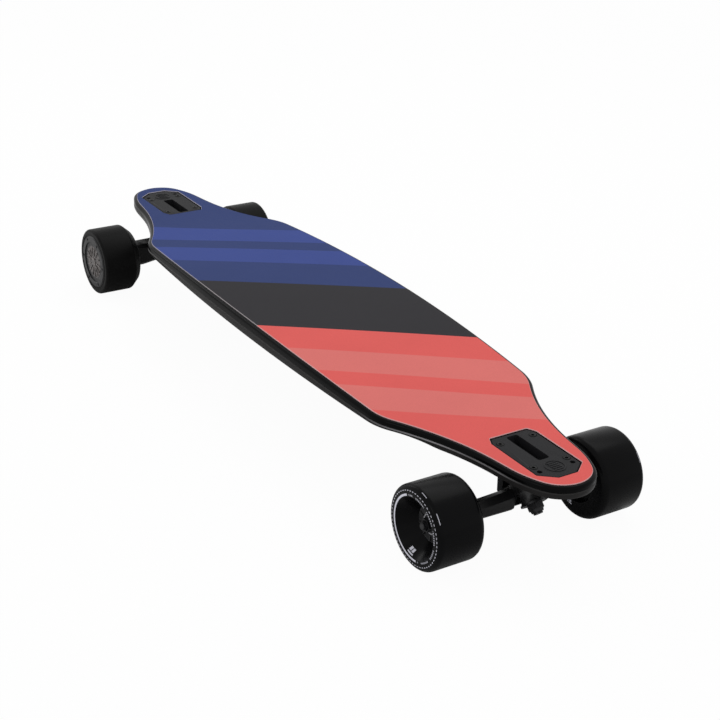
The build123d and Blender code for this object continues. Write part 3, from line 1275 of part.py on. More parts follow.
with BuildPart() as motor_bearings:
    for ring_y in (INNER_BEARING_Y, CAP_BEARING_Y):
        with BuildSketch(at_axle(ring_y)):
            Circle(MOTOR_BEARING_RADIUS)
            Circle(SHAFT_RADIUS + RUNNING_GAP, mode=Mode.SUBTRACT)
        extrude(amount=MOTOR_BEARING_WIDTH)

# iron teeth and their windings on the fixed shaft
with BuildPart() as stator:
    with BuildSketch(at_axle(STATOR_START)):
        Circle(STATOR_HUB)
        with PolarLocations((STATOR_HUB + STATOR_RADIUS) / 2 - 1, STATOR_TEETH):
            Rectangle(STATOR_RADIUS - STATOR_HUB, TOOTH_WIDTH)
        with PolarLocations(STATOR_RADIUS - TOOTH_TIP / 2, STATOR_TEETH):
            Rectangle(TOOTH_TIP, 3 * TOOTH_WIDTH)
        Circle(SHAFT_RADIUS + RUNNING_GAP, mode=Mode.SUBTRACT)
    extrude(amount=STATOR_LENGTH)
    with BuildSketch(at_axle(STATOR_START)):
        Circle(STATOR_RADIUS)
    extrude(amount=STATOR_LENGTH, mode=Mode.INTERSECT)

with BuildPart() as windings:
    with BuildSketch(at_axle(STATOR_START)):
        with PolarLocations((STATOR_HUB + STATOR_RADIUS - TOOTH_TIP) / 2, STATOR_TEETH):
            Rectangle(
                STATOR_RADIUS - STATOR_HUB - TOOTH_TIP - 2 * COIL_WALL, TOOTH_WIDTH + 2 * COIL_WALL
            )
            Rectangle(STATOR_RADIUS - STATOR_HUB, TOOTH_WIDTH, mode=Mode.SUBTRACT)
    extrude(amount=STATOR_LENGTH)

# the urethane sleeve: radius against y
SLEEVE_INNER = MOTOR_INNER + SLEEVE_START
SLEEVE_OUTER = MOTOR_OUTER - SLEEVE_SHORT
with BuildPart() as sleeve:
    with BuildSketch(Plane.YZ):
        with BuildLine():
            Polyline(
                (SLEEVE_INNER, AXLE_Z + CAN_RADIUS),
                (SLEEVE_INNER, AXLE_Z + CAN_RADIUS + SLEEVE_LIP),
                (SLEEVE_INNER + SLEEVE_TAPER, AXLE_Z + WHEEL_RADIUS),
                (SLEEVE_OUTER, AXLE_Z + WHEEL_RADIUS),
                (SLEEVE_OUTER, AXLE_Z + CAN_RADIUS),
                close=True,
            )
        make_face()
    revolve(axis=AXLE_LINE)
    rims = sleeve.edges().filter_by(GeomType.CIRCLE).group_by(SortBy.RADIUS)[-1]
    fillet(rims, SLEEVE_ROUND)

rotor_pieces = (
    ("tyre", sleeve.part),
    ("motor_can", motor_can.part),
    ("motor_cap", motor_cap.part),
    ("cap_screws", cap_screws.part),
    ("magnets", magnets.part),
    ("motor_bearings", motor_bearings.part),
)
for side, word in ((1, "left"), (-1, "right")):
    turn = Rot(0, 0, 0) if side > 0 else Rot(0, 0, 180)
    for name, piece in rotor_pieces:
        write(f"rear_{word}_{name}", Pos(-AXLE_X, 0, 0) * turn * piece)

both_stators = Compound(
    children=[Pos(-AXLE_X, 0, 0) * Rot(0, 0, a) * stator.part for a in (0, 180)]
)
write("motor_stators", both_stators)
both_windings = Compound(
    children=[Pos(-AXLE_X, 0, 0) * Rot(0, 0, a) * windings.part for a in (0, 180)]
)
write("motor_windings", both_windings)

with BuildPart() as rear_axle:
    with BuildSketch(at_axle(-SHAFT_END)):
        Circle(SHAFT_RADIUS)
    extrude(amount=2 * SHAFT_END)
    chamfer(rear_axle.edges().filter_by(GeomType.CIRCLE), AXLE_BEVEL)
write("rear_axle", Pos(-AXLE_X, 0, 0) * rear_axle.part)
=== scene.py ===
"""Electric longboard: finishes, printed grip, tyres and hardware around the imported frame.

The frame's X points to the nose, Y to the left and Z up; everything is in metres.
"""

import math

import bmesh
import bpy
from mathutils import Matrix, Vector


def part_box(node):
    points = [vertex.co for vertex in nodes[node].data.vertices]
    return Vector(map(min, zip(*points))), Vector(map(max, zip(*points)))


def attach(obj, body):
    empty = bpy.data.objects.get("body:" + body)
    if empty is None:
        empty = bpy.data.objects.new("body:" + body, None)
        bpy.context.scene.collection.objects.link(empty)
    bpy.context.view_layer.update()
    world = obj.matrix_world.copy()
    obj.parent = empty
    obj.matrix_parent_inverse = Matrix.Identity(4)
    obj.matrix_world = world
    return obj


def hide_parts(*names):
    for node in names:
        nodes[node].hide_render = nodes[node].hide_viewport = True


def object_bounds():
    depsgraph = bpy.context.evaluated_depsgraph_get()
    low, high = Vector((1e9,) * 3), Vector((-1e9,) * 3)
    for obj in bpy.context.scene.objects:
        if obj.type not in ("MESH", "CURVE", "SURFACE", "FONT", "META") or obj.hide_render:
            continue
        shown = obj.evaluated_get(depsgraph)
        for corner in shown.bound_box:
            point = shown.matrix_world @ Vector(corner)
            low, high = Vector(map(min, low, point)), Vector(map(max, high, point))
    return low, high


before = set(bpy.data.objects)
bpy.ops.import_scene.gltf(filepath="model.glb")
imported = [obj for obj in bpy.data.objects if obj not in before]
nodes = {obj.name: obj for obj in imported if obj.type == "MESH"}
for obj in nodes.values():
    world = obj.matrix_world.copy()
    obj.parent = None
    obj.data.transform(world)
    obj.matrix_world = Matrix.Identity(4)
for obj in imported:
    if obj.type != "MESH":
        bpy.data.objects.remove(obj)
cad_low, cad_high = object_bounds()

MM = 0.001

# --- Sizes that follow the frame ---
front_low, front_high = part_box("front_left_tyre")
rear_low, rear_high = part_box("rear_left_tyre")
deck_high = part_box("deck_upper_board")[1]
grip_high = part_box("grip_tape")[1]
cover_low, cover_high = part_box("underside_cover")
FRONT_AXLE = (front_low.x + front_high.x) / 2
REAR_AXLE = (rear_low.x + rear_high.x) / 2
WHEEL_RADIUS = (front_high.z - front_low.z) / 2
AXLE_Z = front_low.z + WHEEL_RADIUS
TRACK_INNER = front_low.y
TRACK_OUTER = front_high.y
MOTOR_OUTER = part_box("rear_left_motor_cap")[1].y
HALF_LENGTH = deck_high.x
HALF_WIDTH = deck_high.y

# --- Deck and truck plates, as the frame's are drawn ---
# A triple is a face's height at the middle and at the ends, and the half length of its flat.
SIDE_BULGE = 9.5 * MM
SHOULDER_X = 262 * MM
SHOULDER_RADIUS = 70 * MM
SHOULDER_ANGLE = math.radians(32)
NECK_RADIUS = 300 * MM
NECK_ANGLE = math.radians(8)
FORE_RADIUS = 120 * MM
FORE_ANGLE = math.radians(27)
GRIP = (grip_high.z, grip_high.z - 9.5 * MM, 0)
GRIP_THICKNESS = 1 * MM
GRIP_INSET = 4.5 * MM
GRIP_CUT = 0.45 * MM           # bevel where the grip's edge was cut
BOARD_TOP = (GRIP[0] - GRIP_THICKNESS, GRIP[1] - GRIP_THICKNESS, 0)
SEAM = (GRIP[0] - 10.5 * MM, GRIP[1] - 8 * MM, 0)
BOTTOM = (cover_low.z, cover_low.z - 4 * MM, 290 * MM)
PLATFORM_X = 348 * MM
CAMBER_TURN = 0.77
EDGE_ROUND = 3.5 * MM
EDGE_BEVEL = 3 * MM
SEAM_GROOVE = 1 * MM
ACROSS = 8                     # faces across the deck
ABOVE = GRIP[0] + 50 * MM      # cutters end well clear of the deck
BELOW = BOTTOM[1] - 50 * MM
FLANGE_THICKNESS = 5 * MM
FLANGE_DROP = 0.8 * MM         # the flange lies below the grip
FLANGE_TOP = GRIP[1] - FLANGE_DROP
FLANGE_SEAT = FLANGE_TOP - FLANGE_THICKNESS
FLANGE_IN = 25.5 * MM
FLANGE_OUT = 68.5 * MM
FLANGE_WIDTH = 55 * MM
FLANGE_NARROW = 23 * MM
FLANGE_GAP = 1.2 * MM
FLANGE_CORNER = 1.5 * MM
BODY_IN = 25.5 * MM
BODY_OUT = 36 * MM
BODY_WIDTH = 29 * MM
BODY_GAP = 0.8 * MM
BODY_CORNER = 1.8 * MM
BOLT_SPACING = 41.3 * MM
BOLT_X = (-12.5 * MM, 41.5 * MM)
SPARE_X = 51 * MM
BOLT_HOLE = 2.8 * MM
BOLT_HEAD = 4 * MM
BOLT_HEAD_HEIGHT = 2.6 * MM
BOLT_HEAD_SINK = 2.2 * MM
BOLT_RADIUS = 2.5 * MM
BOLT_LENGTH = 13.4 * MM
BOLT_SOCKET = 1.5 * MM
NUT_POCKET = 4.92 * MM
NUT_FLAT = 4 * MM
NUT_HEIGHT = 4 * MM
NUT_BORE = 2.55 * MM
BAY_MARGIN = 11 * MM           # the cover reaches this far past the bay
BAY_CORNER = 14 * MM
BAY_ROOF = 106.5 * MM
COVER_GAP = 0.5 * MM
LEDGE = cover_high.z + 0.8 * MM
PORT_DEPTH = 9 * MM
PORT_GAP = 0.1 * MM
PORT_RIMS = {"charge_port": 3 * MM, "power_button_housing": 2 * MM, "motor_cable_gland": 1 * MM}
SCREWS_LONG = 6                # cover screws along a side
SCREWS_ACROSS = 3              # and across an end
SCREW_HEAD = 3 * MM
SCREW_RADIUS = 1.5 * MM
SCREW_LENGTH = 6.5 * MM
SCREW_SOCKET = 0.9 * MM

# --- Wheels ---
LATHE_STEPS = 160
LIP_ROUND = 8 * MM
INNER_DISH_DEPTH = 8 * MM
INNER_DISH_RADIUS = 26 * MM
DISH_RADIUS = 33 * MM
DISH_DEPTH = 19 * MM
DISH_FLOOR = 4 * MM            # the dish's slope ends this far above its floor
CORE_RADIUS = 19 * MM
CORE_LEDGE = 3 * MM            # urethane stands this far clear of the core
CORE_RIBS = 9
RIB_LENGTH = 6 * MM
RIB_WIDTH = 2 * MM
RIB_HEIGHT = 1.5 * MM
BEARING_RADIUS = 11 * MM
BEARING_WIDTH = 7 * MM
BEARING_STOP = 1.5 * MM
SLEEVE_THICKNESS = 9 * MM
SLEEVE_LIP = 1 * MM
SLEEVE_TAPER = 9 * MM
SLEEVE_ROUND = 4 * MM
SLEEVE_STEP = 0.6 * MM         # groove between the sleeve and the can
CAN_RADIUS = WHEEL_RADIUS - SLEEVE_THICKNESS
CAP_SCREWS = 6
CAP_SCREW_CIRCLE = 31.8 * MM
CAP_SCREW_SINK = 1.5 * MM
CAP_SCREW_HEAD = 2.3 * MM
CAP_SCREW_HEIGHT = 1.2 * MM
CAP_SCREW_RADIUS = 1.5 * MM
CAP_SCREW_LENGTH = 7.4 * MM
CAP_SCREW_SOCKET = 1.15 * MM

# --- Prints, and painted highlight lines on the front tyres ---
NAVY_BORDER = ((-114 * MM, -94 * MM), (21 * MM, 105 * MM))
CORAL_BORDER = ((35 * MM, -105 * MM), (170 * MM, 95 * MM))
NAVY_FIRST = 70 * MM           # from the border to the first stripe
CORAL_FIRST = 55 * MM
STRIPE_PITCH = 80 * MM
STRIPE_WIDTH = 50 * MM
STRIPES = 2
DIAL_RADIUS = 34.6 * MM
DASH_RADIUS = 39.2 * MM
# thin painted highlight lines on the tyre's lip, where its parting lines catch the light; they are
# not print
LIP_HIGHLIGHTS = ((44 * MM, 0.4 * MM, 71, 82), (44.5 * MM, 0.3 * MM, 32, 47))
BLOCKS = (
    (29.4 * MM, 2.6 * MM, -110, -104), (29.4 * MM, 2.6 * MM, -102, -96),
    (31.8 * MM, 0.8 * MM, -109, -93),
)

# --- Colours ---


def colour(red, green, blue):
    """A linear colour from the everyday 0-255 values."""
    linear = []
    for value in (red, green, blue):
        share = value / 255
        linear.append(share / 12.92 if share <= 0.04045 else ((share + 0.055) / 1.055) ** 2.4)
    return (*linear, 1.0)


NAVY = colour(53, 66, 112)
NAVY_LIGHT = colour(62, 77, 140)
CHARCOAL = colour(50, 49, 52)
CORAL = colour(222, 97, 93)
CORAL_LIGHT = colour(219, 117, 112)
CUT_EDGE = colour(214, 206, 208)
CUT_PALENESS = 0.55
LACQUER = colour(6, 6, 7)
LACQUER_LOW = colour(38, 37, 37)
# painted highlight along the lower board's upper bevel, standing in for light caught by the seam
SEAM_HIGHLIGHT = colour(165, 163, 166)
POWDER = colour(18, 18, 19)
FLANGE_BLACK = colour(30, 30, 32)
URETHANE_DARK = colour(4, 4, 5)
URETHANE_PALE = colour(8, 8, 9)
# white of the wheel print, also used for the painted highlight lines on the lip
PRINT_AND_HIGHLIGHT_WHITE = colour(214, 214, 224)
CORE_PLASTIC = colour(20, 20, 22)
SLEEVE_RUBBER = colour(12, 12, 12)
CAP_RIM = colour(44, 44, 45)
CAP_DARK = colour(62, 60, 60)
CAP_PALE = colour(128, 122, 120)
BLACK_STEEL = colour(32, 32, 34)


# --- Node trees and finishes ---


def operator(operation, swapped=False):
    """A Python operator that makes a maths node; swapped puts the wire last."""
    def method(wire, *others):
        return wire.maths(operation, *((*others, wire) if swapped else (wire, *others)))
    return method


class Wire:
    """A node's output that takes part in Python sums."""

    def __init__(self, owner, socket):
        self.owner = owner
        self.socket = socket

    def maths(self, operation, *terms):
        """A maths node over wires and numbers."""
        return self.owner.node("ShaderNodeMath", {"operation": operation}, dict(enumerate(terms)))

    __add__, __radd__ = operator("ADD"), operator("ADD", True)
    __sub__, __rsub__ = operator("SUBTRACT"), operator("SUBTRACT", True)
    __mul__, __rmul__ = operator("MULTIPLY"), operator("MULTIPLY", True)
    __truediv__, __pow__ = operator("DIVIDE"), operator("POWER")
    __lt__, __gt__ = operator("LESS_THAN"), operator("GREATER_THAN")
    __abs__ = operator("ABSOLUTE")


class Nodes:
    """A node tree that is built from Python."""

    def __init__(self, tree):
        self.tree = tree

    def node(self, kind, settings, inputs, output=0):
        """Any node: its settings first, then the values or wires of its sockets. A list of
        wires goes into one socket."""
        made = self.tree.nodes.new(kind)
        for key, value in settings.items():
            if key == "stops":
                ramp = made.color_ramp
                while len(ramp.elements) < len(value):
                    ramp.elements.new(0.5)
                for element, (place, shade) in zip(ramp.elements, value):
                    element.position = place
                    element.color = shade
            else:
                setattr(made, key, value)
        for key, value in inputs.items():
            if isinstance(value, (Wire, list)):
                for wire in value if isinstance(value, list) else [value]:
                    self.tree.links.new(wire.socket, made.inputs[key])
            else:
                made.inputs[key].default_value = value
        return Wire(self, made.outputs[output]) if made.outputs else None

    def outputs(self, kind, inputs):
        """Every output of a node, by name."""
        made = self.node(kind, {}, inputs).socket.node
        return {socket.name: Wire(self, socket) for socket in made.outputs}


class Finish(Nodes):
    """A material, with the nodes that make it."""

    def __init__(self, name, **sockets):
        self.material = bpy.data.materials.new(name)
        self.material.use_nodes = True
        super().__init__(self.material.node_tree)
        self.shader = self.tree.nodes["Principled BSDF"]
        self.coordinates = self.node("ShaderNodeTexCoord", {}, {}, "Object")
        for key, value in sockets.items():
            self.set(key.replace("_", " ").title().replace("Ior", "IOR"), value)

    def set(self, socket, value):
        """Give a socket of the shader a value or a wire."""
        if isinstance(value, Wire):
            self.tree.links.new(value.socket, self.shader.inputs[socket])
        else:
            self.shader.inputs[socket].default_value = value

    def axes(self):
        """The object's own X, Y and Z."""
        return list(self.outputs("ShaderNodeSeparateXYZ", {0: self.coordinates}).values())

    def noise(self, scale, detail=2.0, roughness=0.5, stretch=(1, 1, 1)):
        """Noise over the object, from 0 to 1."""
        place = self.node(
            "ShaderNodeMapping", {}, {"Vector": self.coordinates, "Scale": stretch}
        )
        return self.node(
            "ShaderNodeTexNoise", {},
            {"Vector": place, "Scale": scale, "Detail": detail, "Roughness": roughness},
        )

    def ramp(self, value, *stops):
        """Numbers between stops, as a wire: each stop is (place, level)."""
        greys = [(place, (level, level, level, 1)) for place, level in stops]
        return self.node("ShaderNodeValToRGB", {"stops": greys}, {"Fac": value})

    def mix(self, share, first, second):
        """One colour turning into another."""
        return self.node(
            "ShaderNodeMix", {"data_type": "RGBA"}, {0: share, 6: first, 7: second}, 2
        )

    def bump(self, height, distance, strength=1.0):
        """Relief from a height."""
        self.set("Normal", self.node(
            "ShaderNodeBump", {},
            {"Strength": strength, "Distance": distance, "Height": height},
        ))


class Pattern(Nodes):
    """A Geometry Nodes tree with named inputs, which becomes one plain mesh."""

    def __init__(self, name, **sizes):
        super().__init__(bpy.data.node_groups.new(name, "GeometryNodeTree"))
        self.name = name
        kinds = {int: "NodeSocketInt", float: "NodeSocketFloat", tuple: "NodeSocketVector"}
        self.values = {}
        for key, value in sizes.items():
            socket = self.tree.interface.new_socket(
                key.replace("_", " ").capitalize(), in_out="INPUT",
                socket_type=kinds.get(type(value), "NodeSocketObject"),
            )
            self.values[socket.identifier] = value
        self.tree.interface.new_socket(
            "Geometry", in_out="OUTPUT", socket_type="NodeSocketGeometry"
        )
        self.sizes = dict(zip(sizes, self.outputs("NodeGroupInput", {}).values()))

    def copies(self, places, rotation=(0.0, 0.0, 0.0)):
        """The item at every one of the places."""
        item = self.node("GeometryNodeObjectInfo", {}, {"Object": self.sizes["item"]}, "Geometry")
        return self.node(
            "GeometryNodeInstanceOnPoints", {},
            {"Points": places, "Instance": item, "Rotation": rotation}, "Instances",
        )

    def moved(self, geometry, place, rotation=(0.0, 0.0, 0.0)):
        """Geometry turned and put at a place."""
        return self.node(
            "GeometryNodeTransform", {},
            {"Geometry": geometry, "Translation": place, "Rotation": rotation},
        )

    def piece(self, geometry, finish):
        """End the tree, and turn what it makes into a plain mesh."""
        real = self.node("GeometryNodeRealizeInstances", {}, {"Geometry": geometry})
        dressed = self.node(
            "GeometryNodeSetMaterial", {}, {"Geometry": real, "Material": finish.material}
        )
        self.node("NodeGroupOutput", {}, {0: dressed})
        piece = bpy.data.objects.new(self.name, bpy.data.meshes.new(self.name))
        bpy.context.scene.collection.objects.link(piece)
        making = piece.modifiers.new("pattern", "NODES")
        making.node_group = self.tree
        for identifier, value in self.values.items():
            making[identifier] = value
        mesh = plain_mesh(piece, 35).data
        mesh.materials.clear()
        mesh.materials.append(finish.material)
        mesh.polygons.foreach_set("material_index", [0] * len(mesh.polygons))
        return piece


def shaded(finish, base, spread, scale):
    """A base colour that drifts a little lighter and darker over the surface."""
    lighter = tuple(min(1, c * (1 + spread)) for c in base[:3]) + (1,)
    darker = tuple(c * (1 - spread) for c in base[:3]) + (1,)
    drift = finish.noise(scale, 3)
    finish.set("Base Color", finish.mix(finish.ramp(drift, (0.35, 0), (0.65, 1)), darker, lighter))
    return drift


def plain_finish(name, base, roughness, metallic=0.0, grain=400, depth=0.02, **more):
    """Moulded, painted or cast surface with a fine grain."""
    finish = Finish(name, metallic=metallic, **more)
    drift = shaded(finish, base, 0.12, 18)
    fine = finish.noise(grain, 2)
    finish.set("Roughness", roughness + (drift - 0.5) * 0.16 + (fine - 0.5) * 0.1)
    finish.bump(fine, depth * MM)
    return finish


# --- Mesh tools ---


def smooth(mesh, angle=35):
    """Shade smooth, with a sharp edge where faces meet at more than angle."""
    mesh.polygons.foreach_set("use_smooth", [True] * len(mesh.polygons))
    mesh.set_sharp_from_angle(angle=math.radians(angle))


def new_piece(name, form, finish=None, turn_out=True):
    """A piece from a bmesh, its doubles merged and its faces turned outwards."""
    bmesh.ops.remove_doubles(form, verts=form.verts, dist=1e-6)
    if turn_out:
        bmesh.ops.recalc_face_normals(form, faces=form.faces)
    mesh = bpy.data.meshes.new(name)
    form.to_mesh(mesh)
    form.free()
    smooth(mesh)
    piece = bpy.data.objects.new(name, mesh)
    bpy.context.scene.collection.objects.link(piece)
    if finish:
        mesh.materials.append(finish.material)
    return piece


def plain_mesh(piece, angle=None):
    """Turn a piece and its modifiers into a plain mesh."""
    evaluated = piece.evaluated_get(bpy.context.evaluated_depsgraph_get())
    mesh = bpy.data.meshes.new_from_object(evaluated)
    piece.modifiers.clear()
    old = piece.data
    piece.data = mesh
    bpy.data.meshes.remove(old)
    mesh.name = piece.name
    if angle:
        smooth(mesh, angle)
    return piece


def cut(piece, *cutters):
    """Take the cutters away from a piece."""
    for cutter in cutters:
        taking = piece.modifiers.new("cut", "BOOLEAN")
        taking.object = cutter
        taking.solver = "EXACT"
        if cutter.data.materials:
            taking.material_mode = "TRANSFER"
    plain_mesh(piece, 30)
    for cutter in cutters:
        bpy.data.objects.remove(cutter)
    return piece


def settle(piece, body, slot, *stands_for):
    """Give a finished piece its body, and hide the frame nodes that it stands for. slot is not
    used.
    """
    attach(piece, body)
    if stands_for:
        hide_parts(*stands_for)


def filleted(points, radii, steps=6):
    """Closed outline with its corners rounded; radii is one value, or one for each corner."""
    if not hasattr(radii, "__len__"):
        radii = [radii] * len(points)
    outline = []
    for i, radius in enumerate(radii):
        corner = Vector(points[i])
        before = Vector(points[i - 1]) - corner
        after = Vector(points[(i + 1) % len(points)]) - corner
        if radius <= 0:
            outline.append(tuple(corner))
            continue
        half = before.angle(after) / 2
        back = min(radius / math.tan(half), 0.49 * before.length, 0.49 * after.length)
        reach = back * math.tan(half)
        middle = corner + (before.normalized() + after.normalized()).normalized() * (
            reach / math.sin(half)
        )
        start = corner + before.normalized() * back - middle
        end = corner + after.normalized() * back - middle
        turn = start.angle_signed(end)
        for k in range(steps + 1):
            angle = -turn * k / steps
            x = start.x * math.cos(angle) - start.y * math.sin(angle)
            y = start.x * math.sin(angle) + start.y * math.cos(angle)
            outline.append((middle.x + x, middle.y + y))
    return outline


def stacks(name, *solids, finish=None):
    """Upright solids, each from levels of (closed plan outline, height)."""
    form = bmesh.new()
    for levels in solids:
        rings = [[form.verts.new((x, y, z)) for x, y in outline] for outline, z in levels]
        form.faces.new(rings[0])
        form.faces.new(rings[-1])
        for here, there in zip(rings, rings[1:]):
            for i in range(len(here)):
                k = (i + 1) % len(here)
                form.faces.new((here[i], here[k], there[k], there[i]))
    return new_piece(name, form, finish)


def prisms(name, outlines, low, high):
    """Upright solids over closed plan outlines."""
    return stacks(name, *[[(outline, low), (outline, high)] for outline in outlines])


def turned(name, rings, closed=False, steps=24):
    """Small part turned about Z, for the patterns. A ring is (radius, height), and a third
    value, hexagonal, makes radius the distance to six flats."""
    form = bmesh.new()
    loops = []
    for radius, height, *kind in rings:
        loop = []
        for i in range(steps):
            angle = 2 * math.pi * i / steps
            past = (angle + math.pi / 6) % (math.pi / 3) - math.pi / 6
            reach = radius / math.cos(past) if kind else radius
            loop.append(form.verts.new((reach * math.cos(angle), reach * math.sin(angle), height)))
        loops.append(loop)
    if closed:
        loops.append(loops[0])
    for here, there in zip(loops, loops[1:]):
        for i in range(steps):
            k = (i + 1) % steps
            form.faces.new((here[i], here[k], there[k], there[i]))
    bmesh.ops.remove_doubles(form, verts=form.verts, dist=1e-7)
    bmesh.ops.dissolve_degenerate(form, edges=form.edges, dist=1e-7)
    return new_piece(name, form)


def circle(x, y, radius, steps=32):
    """Plan outline of a circle."""
    turns = [2 * math.pi * i / steps for i in range(steps)]
    return [(x + radius * math.cos(t), y + radius * math.sin(t)) for t in turns]


def rounded_box(x, y, length, width, corner):
    """Plan outline of a rectangle with round corners."""
    half_x, half_y = length / 2, width / 2
    corners = [(-half_x, -half_y), (half_x, -half_y), (half_x, half_y), (-half_x, half_y)]
    return [(x + px, y + py) for px, py in filleted(corners, corner)]


def lathe(name, profile, axle_x, side, finish):
    """Turn a closed profile of (radius, y) about a wheel's axle, on the left or right side."""
    form = bmesh.new()
    rings = []
    for i in range(LATHE_STEPS):
        turn = 2 * math.pi * i / LATHE_STEPS
        rings.append([
            form.verts.new((
                axle_x + radius * math.cos(turn), side * y, AXLE_Z + radius * math.sin(turn)
            ))
            for radius, y in profile
        ])
    for here, there in zip(rings, rings[1:] + rings[:1]):
        for k in range(len(profile)):
            n = (k + 1) % len(profile)
            form.faces.new((here[k], here[n], there[n], there[k]))
    return new_piece(name, form, finish)


def soften(node, width, finish, segments=2):
    """The frame's own shape with its sharp edges rounded off."""
    form = bmesh.new()
    form.from_mesh(nodes[node].data)
    bmesh.ops.remove_doubles(form, verts=form.verts, dist=1e-5)
    bmesh.ops.dissolve_limit(
        form, angle_limit=math.radians(1), verts=form.verts, edges=form.edges
    )
    piece = new_piece(node + "_finished", form, finish, turn_out=False)
    rounding = piece.modifiers.new("rounding", "BEVEL")
    rounding.width = width
    rounding.segments = segments
    rounding.limit_method = "ANGLE"
    rounding.angle_limit = math.radians(30)
    rounding.miter_outer = "MITER_ARC"
    rounding.harden_normals = True
    return plain_mesh(piece)


def together(name, pieces, finish):
    """One piece from several of the same finish."""
    form = bmesh.new()
    for piece in pieces:
        form.from_mesh(piece.data)
        bpy.data.objects.remove(piece)
    return new_piece(name, form, finish, turn_out=False)


# --- Patterns of repeated parts ---


def ring_pattern(name, item, count, radius, place, side, finish):
    """Copies of an item round an axle, each pointing outwards on the left or right side."""
    pattern = Pattern(
        name, item=item, count=count, radius=radius, place=place,
        tilt=(-side * math.pi / 2, 0.0, 0.0),
    )
    sizes = pattern.sizes
    ring = pattern.node(
        "GeometryNodeMeshCircle", {}, {"Vertices": sizes["count"], "Radius": sizes["radius"]}
    )
    index = pattern.node("GeometryNodeInputIndex", {}, {})
    turn = pattern.node("ShaderNodeCombineXYZ", {}, {"Z": index * (2 * math.pi) / sizes["count"]})
    return pattern.piece(
        pattern.moved(pattern.copies(ring, turn), sizes["place"], sizes["tilt"]), finish
    )


def grid_pattern(name, item, spacing_x, spacing_y, columns, rows, places, finish):
    """Copies of an item on an even grid round each of the places."""
    pattern = Pattern(
        name, item=item, spacing_x=spacing_x, spacing_y=spacing_y, columns=columns, rows=rows
    )
    sizes = pattern.sizes
    grid = pattern.node("GeometryNodeMeshGrid", {}, {
        "Size X": sizes["spacing_x"] * (sizes["columns"] - 1),
        "Size Y": sizes["spacing_y"] * (sizes["rows"] - 1),
        "Vertices X": sizes["columns"], "Vertices Y": sizes["rows"],
    })
    copies = pattern.copies(grid)
    grids = [pattern.moved(copies, place) for place in places]
    return pattern.piece(pattern.node("GeometryNodeJoinGeometry", {}, {0: grids}), finish)


def row_pattern(name, item, count, start, gap, finish):
    """Copies of an item in an even row."""
    pattern = Pattern(name, item=item, count=count, start=start, gap=gap)
    sizes = pattern.sizes
    row = pattern.node("GeometryNodeMeshLine", {}, {
        "Count": sizes["count"], "Start Location": sizes["start"], "Offset": sizes["gap"],
    })
    return pattern.piece(pattern.copies(row), finish)


# --- Deck ---


def bend(path, radius, turn, steps):
    """Carry a path of (x, y, heading) on by an arc; a negative turn is to the right."""
    x, y, heading = path[-1]
    way = math.copysign(radius, turn)
    centre_x = x - way * math.sin(heading)
    centre_y = y + way * math.cos(heading)
    for i in range(1, steps + 1):
        angle = heading + turn * i / steps
        path.append((centre_x + way * math.sin(angle), centre_y - way * math.cos(angle), angle))


def deck_side():
    """Left side of the deck from tail to nose, as (x, y, heading)."""
    side_radius = (SHOULDER_X**2 + SIDE_BULGE**2) / (2 * SIDE_BULGE)
    side_angle = math.asin(SHOULDER_X / side_radius)
    path = [(0, HALF_WIDTH, 0)]
    bend(path, side_radius, -side_angle, 40)
    bend(path, SHOULDER_RADIUS, side_angle - SHOULDER_ANGLE, 16)
    bend(path, NECK_RADIUS, SHOULDER_ANGLE - NECK_ANGLE, 30)
    x, y, heading = path[-1]
    tip_share = (1 - math.sin(FORE_ANGLE)) / math.cos(FORE_ANGLE)
    fore_x = FORE_RADIUS * (math.sin(FORE_ANGLE) - math.sin(NECK_ANGLE))
    fore_y = FORE_RADIUS * (math.cos(NECK_ANGLE) - math.cos(FORE_ANGLE))
    reach = x + fore_x + (y - fore_y) * tip_share
    run = (HALF_LENGTH - reach) / (math.cos(NECK_ANGLE) - math.sin(NECK_ANGLE) * tip_share)
    for i in range(1, 5):
        gone = run * i / 4
        path.append((x + math.cos(heading) * gone, y + math.sin(heading) * gone, heading))
    bend(path, FORE_RADIUS, NECK_ANGLE - FORE_ANGLE, 14)
    bend(path, path[-1][1] / math.cos(FORE_ANGLE), FORE_ANGLE - math.pi / 2, 30)
    rear = [(-x, y, -heading) for x, y, heading in reversed(path[1:])]
    return rear + path


def camber(x, middle, end, flat_x=0):
    """Height of a cambered face of the deck at x."""
    x = abs(x)
    if x <= flat_x:
        return middle
    if x >= PLATFORM_X:
        return end
    turn_run = CAMBER_TURN * (PLATFORM_X - flat_x)
    turn_drop = CAMBER_TURN * (middle - end)
    crown = (turn_run**2 + turn_drop**2) / (2 * turn_drop)
    if x <= flat_x + turn_run:
        return middle - crown + math.sqrt(crown**2 - (x - flat_x) ** 2)
    slope = math.asin(turn_run / crown)
    up = Vector((math.sin(slope), math.cos(slope)))
    start = Vector((flat_x + turn_run, middle - turn_drop))
    chord = Vector((PLATFORM_X, end)) - start
    hollow = chord.length_squared / (2 * up.dot(chord))
    centre = start + up * hollow
    return centre.y - math.copysign(math.sqrt(hollow**2 - (x - centre.x) ** 2), hollow)


